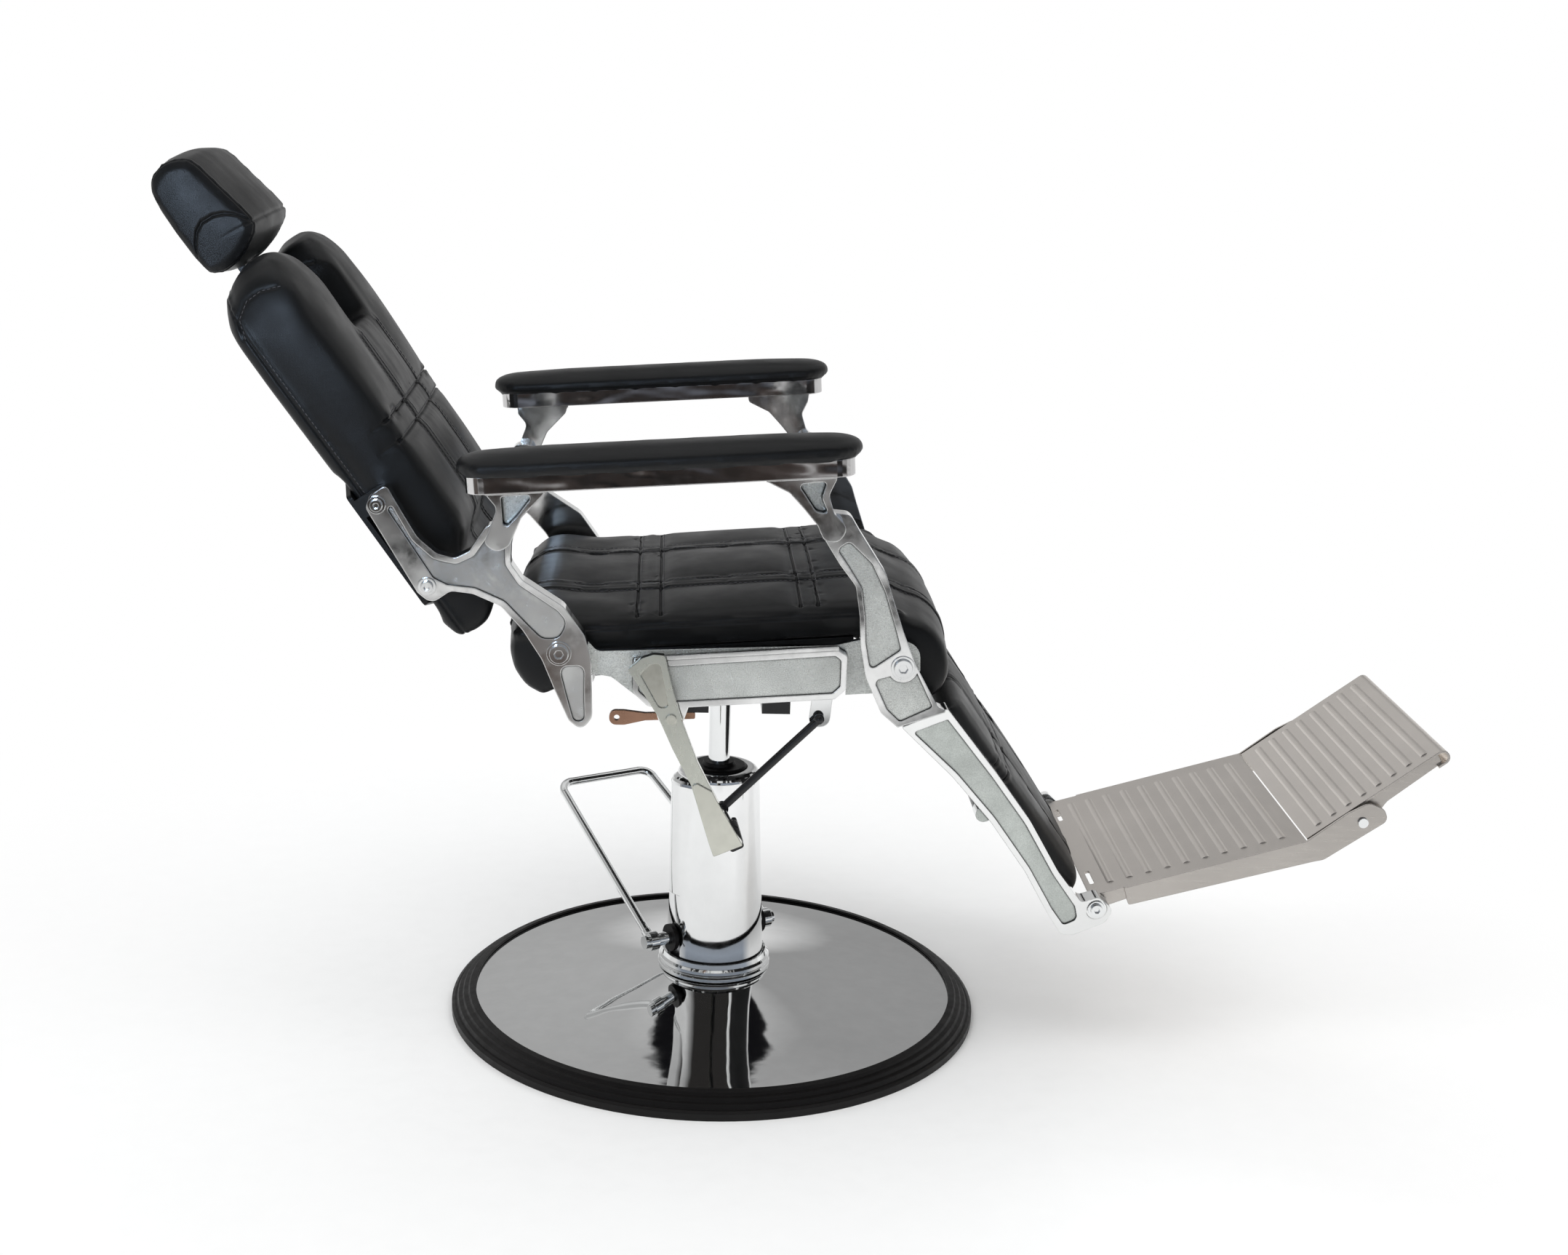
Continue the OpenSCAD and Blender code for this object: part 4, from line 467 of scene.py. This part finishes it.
def cloth(o, pinned, pressure, cap, shrink):
    """Inflates the mesh as sewn fabric: the free part starts shrink metres inside its form, pinned vertices
    (1, and 0 elsewhere) stay, and nothing moves further than cap."""
    start = points(o.data)
    put_points(o.data, start - normals(o.data) * shrink * (1 - pinned)[:, None])
    rest = points(o.data)
    group = o.vertex_groups.new(name="pin")
    group.add([int(i) for i in np.where(pinned >= 1.0)[0]], 1.0, "REPLACE")
    mod = o.modifiers.new("Cloth", "CLOTH")
    s = mod.settings
    s.quality = 4
    s.mass = 0.25
    s.tension_stiffness = 12
    s.compression_stiffness = 12
    s.shear_stiffness = 6
    s.bending_stiffness = 0.6
    s.use_pressure = True
    s.uniform_pressure_force = pressure
    s.vertex_group_mass = "pin"
    s.effector_weights.gravity = 0
    mod.point_cache.frame_start = 1
    mod.point_cache.frame_end = CLOTH_FRAMES
    for f in range(1, CLOTH_FRAMES + 1):
        scene.frame_set(f)
    me = evaluated_mesh(o)
    moved = points(me) - rest
    bpy.data.meshes.remove(me)
    o.modifiers.clear()
    o.vertex_groups.clear()
    far = np.linalg.norm(moved, axis=1, keepdims=True)
    moved *= np.minimum(1, cap / np.maximum(far, 1e-9))
    put_points(o.data, rest + evened(o.data, moved, pinned))
    scene.frame_set(1)


def fitted(o, node, place):
    """Brings the object to the CAD form's box, in the local frame place."""
    form = points(NODES[node].data)
    form = np.c_[form, np.ones(len(form))] @ np.array(place.inverted()).T
    lo, hi = form[:, :3].min(0), form[:, :3].max(0)
    co = points(o.data)
    a, b = co.min(0), co.max(0)
    put_points(o.data, lo + (co - a) / (b - a) * (hi - lo))


def soft_piece(name, node, place, voxel, pin, pressure=4.0, cap=0.008, shrink=0.003, smooth=6):
    """A cushion made from its CAD form in a local frame: remeshed, smoothed, inflated and subdivided."""
    me = NODES[node].data.copy()
    me.materials.clear()
    o = bpy.data.objects.new(name, me)
    scene.collection.objects.link(o)
    me.transform(place.inverted())
    bm = bmesh.new()
    bm.from_mesh(me)
    bmesh.ops.remove_doubles(bm, verts=bm.verts, dist=1e-5)
    bmesh.ops.recalc_face_normals(bm, faces=bm.faces)
    bm.to_mesh(me)
    bm.free()
    modified(o, "REMESH", mode="VOXEL", voxel_size=voxel)
    modified(o, "SMOOTH", factor=0.5, iterations=smooth)
    cloth(o, pin(points(o.data), normals(o.data)), pressure, cap, shrink)
    modified(o, "SUBSURF", levels=1)
    fitted(o, node, place)
    return o


def dress(o, place, body, node):
    """Puts the finished cushion on its body, in the CAD form's place."""
    o.data.transform(place)
    o.data.materials.clear()
    o.data.materials.append(LEATHER)
    for p in o.data.polygons:
        p.use_smooth = True
    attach(o, body)
    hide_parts(node)


# ---- Sewing --------------------------------------------------------------------
# Depth and width of one sewn line of the quilting, and of the fine line where two panels of a cover meet.
QUILT = (0.0034, 0.0019)
QUILT_DIP = 0.0022
DIP_WIDTH = 0.008


def hill(d, width):
    """1 at distance 0, and next to nothing from two widths on."""
    return np.exp(-(d / width) ** 2)


def groove(co, nm, dist, mask, depth, width, dip=0.0):
    """Sewn line: a narrow valley in the middle of a wide shallow dip."""
    d = np.abs(dist)
    shape = -depth * hill(d, width) - dip * hill(d, DIP_WIDTH)
    return co + nm * (shape * mask)[:, None]


def seam(co, nm, dist, mask, half, depth=0.0042, width=0.0021, puff=0.0018):
    """Two sewn lines, half to each side of dist zero, with a padded welt between them."""
    d = np.abs(dist)
    shape = puff * hill(d, half * 0.62) - depth * hill(d - half, width)
    shape -= 0.0009 * hill(np.maximum(d - half, 0), 0.006) * (d > half)
    return co + nm * (shape * mask)[:, None]


def facing(along, gain, start):
    """0 to 1, rising with the share of the normal that looks that way."""
    return np.clip(along * gain - start, 0, 1)


# Half widths of what is pinned and of what gets a finer mesh at a sewn line
PIN_HALF = 0.004
FINE_HALF = 0.011


def near(v, lines, w):
    return np.min([np.abs(v - l) for l in lines], axis=0) < w


def refined(o, near_seam, cuts):
    """More cuts in every face that lies near a seam."""
    me = o.data
    close = near_seam(points(me))
    bm = bmesh.new()
    bm.from_mesh(me)
    bm.verts.ensure_lookup_table()
    edges = [e for e in bm.edges if close[e.verts[0].index] and close[e.verts[1].index]]
    bmesh.ops.subdivide_edges(bm, edges=edges, cuts=cuts, use_grid_fill=True)
    bm.to_mesh(me)
    bm.free()
    me.update()


STITCH_PITCH = 0.0062
STITCH_LENGTH = 0.0042
STITCH_SIDE = 0.0035
THREAD_R = 0.000504
THREAD_LIFT = 0.0003
THREAD_BOW = 0.0002
THREAD_SINK = 0.0001
THREAD_ANGLES = (0, 1.257, 2.513, 3.770, 5.027)
# Each ring's place along the stitch and its share of the thread's radius
THREAD_RINGS = ((0.0, 0.35), (0.2, 1.0), (0.8, 1.0), (1.0, 0.35))
THROW = 0.2
MAX_JUMP = 0.02


def line(a, b, n=60):
    return [tuple(np.array(a) * (1 - t) + np.array(b) * t) for t in np.linspace(0, 1, n)]


def stitch(bm, at, way, out):
    """One thread end to end: a small bar with drawn-in ends, from at along way, lying on the leather."""
    side = way.cross(out).normalized()
    rings = []
    for t, share in THREAD_RINGS:
        c = at + way * STITCH_LENGTH * t + out * (THREAD_BOW * math.sin(math.pi * t) - THREAD_SINK)
        rings.append([bm.verts.new(c + (side * math.cos(q) + out * math.sin(q)) * THREAD_R * share)
                      for q in THREAD_ANGLES])
    sides = len(THREAD_ANGLES)
    for r0, r1 in zip(rings, rings[1:]):
        for i in range(sides):
            j = (i + 1) % sides
            bm.faces.new((r0[i], r0[j], r1[j], r1[i]))
    bm.faces.new(rings[0][::-1])
    bm.faces.new(rings[-1])


def stitches(name, o, place, body, rows):
    """Threads lying on the cushion. Each row is (points, aim): its points are thrown onto it along aim."""
    bm = bmesh.new()
    bm.from_mesh(o.data)
    tree = BVHTree.FromBMesh(bm)
    bm.free()
    bm = bmesh.new()
    for pts, aim in rows:
        hits = [tree.ray_cast(Vector(p), Vector(aim).normalized(), THROW) for p in pts]
        hits = [(h[0], h[1]) for h in hits if h[0] is not None]
        run = 0.0
        for (a, out), (b, _) in zip(hits, hits[1:]):
            if (b - a).length > MAX_JUMP:
                continue
            way = (b - a).normalized()
            while run < (b - a).length:
                stitch(bm, a + way * run + out * THREAD_LIFT, way, out)
                run += STITCH_PITCH
            run -= (b - a).length
    bmesh.ops.recalc_face_normals(bm, faces=bm.faces)
    me = bpy.data.meshes.new(name)
    bm.to_mesh(me)
    bm.free()
    t = bpy.data.objects.new(name, me)
    scene.collection.objects.link(t)
    me.transform(place)
    me.materials.append(THREAD)
    for p in me.polygons:
        p.use_smooth = True
    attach(t, body)


# ---- Seat ----------------------------------------------------------------------
SEAT = Matrix.Identity(4)
SEAT_X = [-0.109, -0.081, 0.086, 0.107]
SEAT_Y = [0.083, 0.112]
SEAT_HALF = 0.231
SEAT_EDGE_Z = 0.606
SEAT_TILT = math.radians(4.4)
SIDE_SEAM_DROP = 0.014
STITCHED_Y = SEAT_HALF - 0.014
STITCHED_X = (-0.23, 0.26)
ABOVE = 0.7


def above_side_seam(co):
    return co[:, 2] - (SEAT_EDGE_Z + co[:, 0] * math.tan(SEAT_TILT)) + SIDE_SEAM_DROP


def on_seat_side(co):
    return np.abs(co[:, 1]) > SEAT_HALF - 0.02


def seat_pin(co, nm):
    across = near(co[:, 0], SEAT_X, PIN_HALF) & (nm[:, 2] > 0.3) & (np.abs(co[:, 1]) < SEAT_HALF - 0.02)
    lengthwise = near(np.abs(co[:, 1]), SEAT_Y, PIN_HALF) & (nm[:, 2] > -0.3)
    under = (nm[:, 2] < -0.6) & (np.abs(co[:, 0]) < 0.17)
    edge = on_seat_side(co) & (np.abs(above_side_seam(co)) < PIN_HALF)
    return np.where(across | lengthwise | under | edge, 1.0, 0.0)


def seat_sewn(co):
    quilt = near(co[:, 0], SEAT_X, FINE_HALF) | near(np.abs(co[:, 1]), SEAT_Y, FINE_HALF)
    return quilt | on_seat_side(co) & (np.abs(above_side_seam(co)) < 0.01)


seat = soft_piece("seat_pad", "seat_cushion", SEAT, 0.006, seat_pin)
refined(seat, seat_sewn, 2)
co, nm = points(seat.data), normals(seat.data)
ends = np.clip((SEAT_HALF - 0.010 - np.abs(co[:, 1])) / 0.006, 0, 1)
upper = facing(nm[:, 2], 3, 0.6)
for x in SEAT_X:
    co = groove(co, nm, co[:, 0] - x, upper * ends, *QUILT, QUILT_DIP)
over = facing(nm[:, 2], 3, -1.2)
co = seam(co, nm, np.abs(co[:, 1]) - sum(SEAT_Y) / 2, over, (SEAT_Y[1] - SEAT_Y[0]) / 2)
flank = facing(np.abs(nm[:, 1]), 3, 0.6) * (np.abs(co[:, 0]) < 0.21)
co = groove(co, nm, above_side_seam(co), flank, 0.002, 0.0018)
put_points(seat.data, co)

DOWN = (0, 0, -1)
rows = []
for x in SEAT_X:
    x += STITCH_SIDE
    rows.append((line((x, -STITCHED_Y, ABOVE), (x, STITCHED_Y, ABOVE)), DOWN))
for y in SEAT_Y:
    for sign in (1, -1):
        at = sign * (y + STITCH_SIDE)
        rows.append((line((STITCHED_X[0], at, ABOVE), (STITCHED_X[1], at, ABOVE)), DOWN))
stitches("seat_stitches", seat, SEAT, "seat", rows)
dress(seat, SEAT, "seat", "seat_cushion")

# ---- Back ----------------------------------------------------------------------
BACK = frame_of((-0.199, 0, 0.560), LEAN_DEG)
BACK_S = [0.302, 0.330]
BACK_Y = [0.0645, 0.0795]
NOTCH = 0.430
REAR = -0.094

# The stitched arc at the upper rear corner of each side, as x and z of the back's frame
ARC_T = [0, 0.25, 0.5, 0.75, 1]
ARC_X = [-0.098, -0.091, -0.073, -0.052, -0.032]
ARC_Z = [0.498, 0.520, 0.532, 0.533, 0.526]
ARC = [(np.interp(t, ARC_T, ARC_X), np.interp(t, ARC_T, ARC_Z)) for t in np.linspace(0, 1, 60)]


def back_pin(co, nm):
    y = np.abs(co[:, 1])
    across = near(co[:, 2], BACK_S, PIN_HALF) & (nm[:, 0] > 0.3) & (y < 0.20)
    upright = near(y, BACK_Y, PIN_HALF) & (nm[:, 0] > 0.2) & (co[:, 2] < NOTCH - 0.004)
    return np.where(across | upright | (co[:, 0] < REAR + 0.003), 1.0, 0.0)


def back_sewn(co):
    quilt = near(co[:, 2], BACK_S, FINE_HALF) | near(np.abs(co[:, 1]), BACK_Y, FINE_HALF)
    return quilt & (co[:, 0] > -0.06) | near(co[:, 0], [REAR], 0.008)


back = soft_piece("back_pad", "back_cushion", BACK, 0.006, back_pin, cap=0.006)
refined(back, back_sewn, 2)
co, nm = points(back.data), normals(back.data)
y = np.abs(co[:, 1])
front = facing(nm[:, 0], 3, 0.5)
for s in BACK_S:
    co = groove(co, nm, co[:, 2] - s, front, *QUILT, 0.0024)
below = np.clip((NOTCH - 0.002 - co[:, 2]) / 0.008, 0, 1)
co = seam(co, nm, y - sum(BACK_Y) / 2, front * below, (BACK_Y[1] - BACK_Y[0]) / 2, 0.0042, 0.0020, 0.0014)
around = facing(np.abs(nm[:, 0]), -2, -1.6)
co = groove(co, nm, co[:, 0] - REAR, around, 0.0020, 0.0018)
flank = facing(np.abs(nm[:, 1]), 4, 2.2)
far = np.min([np.hypot(co[:, 0] - x, co[:, 2] - z) for x, z in ARC], axis=0)
co = groove(co, nm, far, flank, 0.0018, 0.0022)
put_points(back.data, co)

AHEAD = 0.05
ASIDE = 0.3
rows = []
for s in BACK_S:
    rows.append((line((AHEAD, -0.18, s + STITCH_SIDE), (AHEAD, 0.18, s + STITCH_SIDE)), (-1, 0, 0)))
for y in BACK_Y:
    for sign in (1, -1):
        at = sign * (y + STITCH_SIDE)
        rows.append((line((AHEAD, at, 0.03), (AHEAD, at, NOTCH - 0.01)), (-1, 0, 0)))
for sign in (1, -1):
    inward = (0, -sign, 0)
    x = REAR + 0.004
    rows.append((line((x, sign * ASIDE, 0.20), (x, sign * ASIDE, 0.47), 80), inward))
    rows.append(([(x + 0.002, sign * ASIDE, z - 0.002) for x, z in ARC], inward))
stitches("back_stitches", back, BACK, "back", rows)
dress(back, BACK, "back", "back_cushion")

# ---- Headrest ------------------------------------------------------------------
HEAD_SEAM = 0.111

# The bowed seam on each side, as x and z of the back's frame
BOW_X = [-0.108, -0.100, -0.090, -0.078, -0.062, -0.050, -0.040, -0.031]
BOW_Z = [0.604, 0.617, 0.628, 0.634, 0.633, 0.628, 0.620, 0.607]


def head_pin(co, nm):
    rim = (np.abs(np.abs(co[:, 1]) - HEAD_SEAM) < 0.0045) & (np.abs(nm[:, 1]) < 0.8)
    return np.where((nm[:, 0] < -0.8) | rim, 1.0, 0.0)


def head_sewn(co):
    y = np.abs(co[:, 1])
    return (np.abs(y - HEAD_SEAM) < 0.007) | (y > HEAD_SEAM) & (co[:, 2] < 0.645)


head = soft_piece("head_pad", "headrest_cushion", BACK, 0.004, head_pin, cap=0.003, shrink=0.0015, smooth=4)
refined(head, head_sewn, 1)
co, nm = points(head.data), normals(head.data)
rim = facing(np.abs(nm[:, 0]) + np.abs(nm[:, 2]), 3, 1)
co = groove(co, nm, np.abs(co[:, 1]) - HEAD_SEAM, rim, 0.0022, 0.0018)
co = groove(co, nm, co[:, 2] - 0.603 + (co[:, 0] + 0.03) * 0.1, facing(nm[:, 0], 3, 0), 0.002, 0.002)
flank = facing(np.abs(nm[:, 1]), 4, 2.6)
co = groove(co, nm, co[:, 2] - np.interp(co[:, 0], BOW_X, BOW_Z), flank, 0.0026, 0.0020)
put_points(head.data, co)
dress(head, BACK, "head", "headrest_cushion")

# ---- Leg rest ------------------------------------------------------------------
LEG = frame_of((0.207, 0, 0.550), LEAN_DEG)
LEG_TOP = 0.086
LEG_TOP_HALF = 0.220
LEG_U = [0.190, 0.214]
LEG_LINES = [79 / 220, 106 / 220]


def leg_half(co):
    """Half the pad's width, which draws in with the leg rails."""
    return LEG_TOP_HALF - (-co[:, 2] - LEG_TOP) * math.tan(SPLAY)


def leg_share(co):
    return np.abs(co[:, 1]) / leg_half(co)


def leg_pin(co, nm):
    lines = near(leg_share(co), LEG_LINES, 0.018) | near(-co[:, 2], LEG_U, PIN_HALF)
    return np.where(lines & (nm[:, 0] > 0.3) | (nm[:, 0] < -0.8), 1.0, 0.0)


def leg_sewn(co):
    return (near(leg_share(co), LEG_LINES, 0.045) | near(-co[:, 2], LEG_U, 0.010)) & (co[:, 0] > 0)


leg = soft_piece("leg_pad", "leg_cushion", LEG, 0.005, leg_pin)
refined(leg, leg_sewn, 2)
co, nm = points(leg.data), normals(leg.data)
front = facing(nm[:, 0], 3, 0.3)
co = seam(co, nm, np.abs(co[:, 1]) - sum(LEG_LINES) / 2 * leg_half(co), front, 0.0125)
for u in LEG_U:
    co = groove(co, nm, -co[:, 2] - u, front, *QUILT, QUILT_DIP)
put_points(leg.data, co)
dress(leg, LEG, "leg", "leg_cushion")

# ---- Arm pads ------------------------------------------------------------------
ARM = Matrix.Identity(4)


def arm_pin(co, nm):
    return np.where(nm[:, 2] < -0.5, 1.0, 0.0)


for side in ("right", "left"):
    node = "arm_pad_" + side
    pad = soft_piece("arm_rest_" + side, node, ARM, 0.004, arm_pin, 3.0, cap=0.003, shrink=0.0015, smooth=4)
    dress(pad, ARM, "arm_" + side, node)


# ---- Room and light ------------------------------------------------------------
def world():
    """White to the camera and pale to the fabrics. Polished faces see a darker room instead: in front a
    blue-grey wall, dark above and white overhead, and behind a grey wall with a black doorway."""
    w = bpy.data.worlds.new("studio")
    scene.world = w
    w.use_nodes = True
    n = Net(w.node_tree)
    out = n.add("OutputWorld")
    bg = n.add("Background")
    n.put(out.inputs[0], bg.outputs[0])
    path = n.add("LightPath")
    way = n.add("TexCoord").outputs["Generated"]
    dx, dy, dz = n.axes(way)
    x, y, z = n.halved(dx), n.halved(dy), n.halved(dz)

    front = n.ramp(z, (0.0, (0.05, 0.042, 0.038)), (0.47, (0.12, 0.13, 0.15)), (0.56, (0.32, 0.36, 0.42)),
                   (0.64, (0.26, 0.28, 0.31)), (0.70, (0.05, 0.046, 0.043)), (0.80, (0.028, 0.026, 0.025)),
                   (0.90, (0.028, 0.027, 0.026)), (0.95, 1.0))
    wall = n.ramp(x, (0.40, 0.46), (0.50, 0.40), (0.57, 0.32), (0.62, 0.34), (0.68, 0.54))
    wall_height = n.ramp(z, (0.54, 0.0), (0.61, 1.0), (0.80, 1.0), (0.90, 0.0))
    rear = n.mix(wall_height, (0.78, 0.78, 0.78, 1), wall)
    room = n.mix(n.ramp(y, (0.32, 0.0), (0.50, 1.0)), front, rear)

    ragged = n.math("MULTIPLY", n.noise(26, 4, 0.7, way), 0.05)
    off = n.math("ADD", n.math("ABSOLUTE", n.math("SUBTRACT", dx, 0.02)), ragged)
    reach = n.ramp(z, (0.755, 0.045), (0.79, 0.070), (0.806, 0.088), (0.82, 0.115), (0.835, 0.155),
                   (0.88, 0.19))
    narrow = n.ramp(n.math("SUBTRACT", reach, off), (0.0, 0.0), (0.012, 1.0))
    band = n.ramp(z, (0.745, 0.0), (0.757, 1.0), (0.88, 1.0), (0.93, 0.0))
    behind = n.ramp(y, (0.5, 0.0), (0.6, 1.0))
    door = n.math("MULTIPLY", n.math("MULTIPLY", narrow, band), behind)
    room = n.mix(door, room, (0.006, 0.006, 0.007, 1))

    seen = n.mix(path.outputs["Is Glossy Ray"], (0.80, 0.80, 0.80, 1), room)
    n.put(bg.inputs[0], n.mix(path.outputs["Is Camera Ray"], seen, (1, 1, 1, 1)))
    bg.inputs[1].default_value = 1.0


def floor():
    """Pale paper that fades into the white background. In polished faces its front part shows as the dark
    and patchy floor of a room: patches first, brown ones further on, and a bluish zone far in front."""
    me = bpy.data.meshes.new("floor")
    bm = bmesh.new()
    bmesh.ops.create_grid(bm, x_segments=8, y_segments=8, size=14)
    bm.to_mesh(me)
    bm.free()
    o = bpy.data.objects.new("floor", me)
    scene.collection.objects.link(o)
    m, n, p = material("paper", Roughness=0.9, Specular_IOR_Level=0.1)
    path = n.add("LightPath")
    spot = n.add("NewGeometry").outputs["Position"]
    x, y = n.axes(spot)[:2]
    forward = n.math("MULTIPLY", y, -0.2)

    paper = n.ramp(n.noise(30, 3), (0.3, (0.93, 0.935, 0.935)), (0.7, (0.95, 0.955, 0.955)))
    patches = n.ramp(n.noise(1.9, 1, 0.4, spot), (0.40, 0.02), (0.455, 0.12), (0.50, 0.60), (0.60, 0.92))
    brown = n.ramp(n.noise(0.9, 2, 0.5, spot), (0.40, (0.004, 0.004, 0.004)), (0.47, (0.022, 0.017, 0.015)),
                   (0.56, (0.045, 0.033, 0.028)), (0.62, (0.10, 0.08, 0.075)), (0.68, (0.6, 0.6, 0.6)))
    rear_left = n.math("MULTIPLY", n.ramp(forward, (0.45, 1.0), (0.50, 0.0)),
                       n.ramp(n.halved(x), (0.36, 1.0), (0.44, 0.0)))
    room = n.mix(rear_left, patches, (0.10, 0.082, 0.074, 1))
    room = n.mix(n.ramp(forward, (0.66, 0.0), (0.74, 1.0)), room, brown)
    room = n.mix(n.ramp(n.math("MULTIPLY", y, -0.1), (0.50, 0.0), (0.68, 1.0)), room, (0.32, 0.36, 0.44, 1))
    mirrored = n.math("MULTIPLY", n.ramp(forward, (0.26, 0.0), (0.38, 1.0)), path.outputs["Is Glossy Ray"])
    n.put(p.inputs["Base Color"], n.mix(mirrored, paper, room))

    away = n.math("MULTIPLY", n.vector("LENGTH", spot), 0.25)
    clear = n.math("MULTIPLY", n.ramp(away, (0.12, 0.0), (0.34, 1.0)), path.outputs["Is Camera Ray"])
    blend = n.add("MixShader")
    n.put(blend.inputs[0], clear)
    n.put(blend.inputs[1], p)
    n.put(blend.inputs[2], n.add("Emission"))
    n.put(n.out.inputs[0], blend)
    me.materials.append(m)


def lamp(name, at, to, size, watts, colour=(1, 1, 1), spread=180, mirrored=False):
    """Soft box. mirrored says whether polished faces show it, spread is the angle of its light in degrees."""
    d = bpy.data.lights.new(name, "AREA")
    d.shape = "RECTANGLE"
    d.size, d.size_y = size
    d.energy = watts
    d.color = colour
    d.spread = math.radians(spread)
    o = bpy.data.objects.new(name, d)
    scene.collection.objects.link(o)
    o.location = at
    o.rotation_mode = "QUATERNION"
    o.rotation_quaternion = (Vector(to) - Vector(at)).to_track_quat("-Z", "Y")
    o.visible_camera = False
    o.visible_glossy = mirrored


world()
floor()
lamp("key", (-1.4, -1.6, 3.1), (0, 0, 0.5), (1.8, 1.2), 32)
lamp("fill", (1.9, -1.2, 2.9), (0.2, 0, 0.5), (1.4, 1.4), 15)
lamp("sheen", (-1.0, -2.3, 1.10), (-0.6, -0.1, 1.0), (0.9, 0.5), 1.4, (0.62, 0.78, 1.0), 40, True)
lamp("rim", (0.6, 2.6, 2.6), (0, 0, 0.6), (2.2, 0.9), 20)
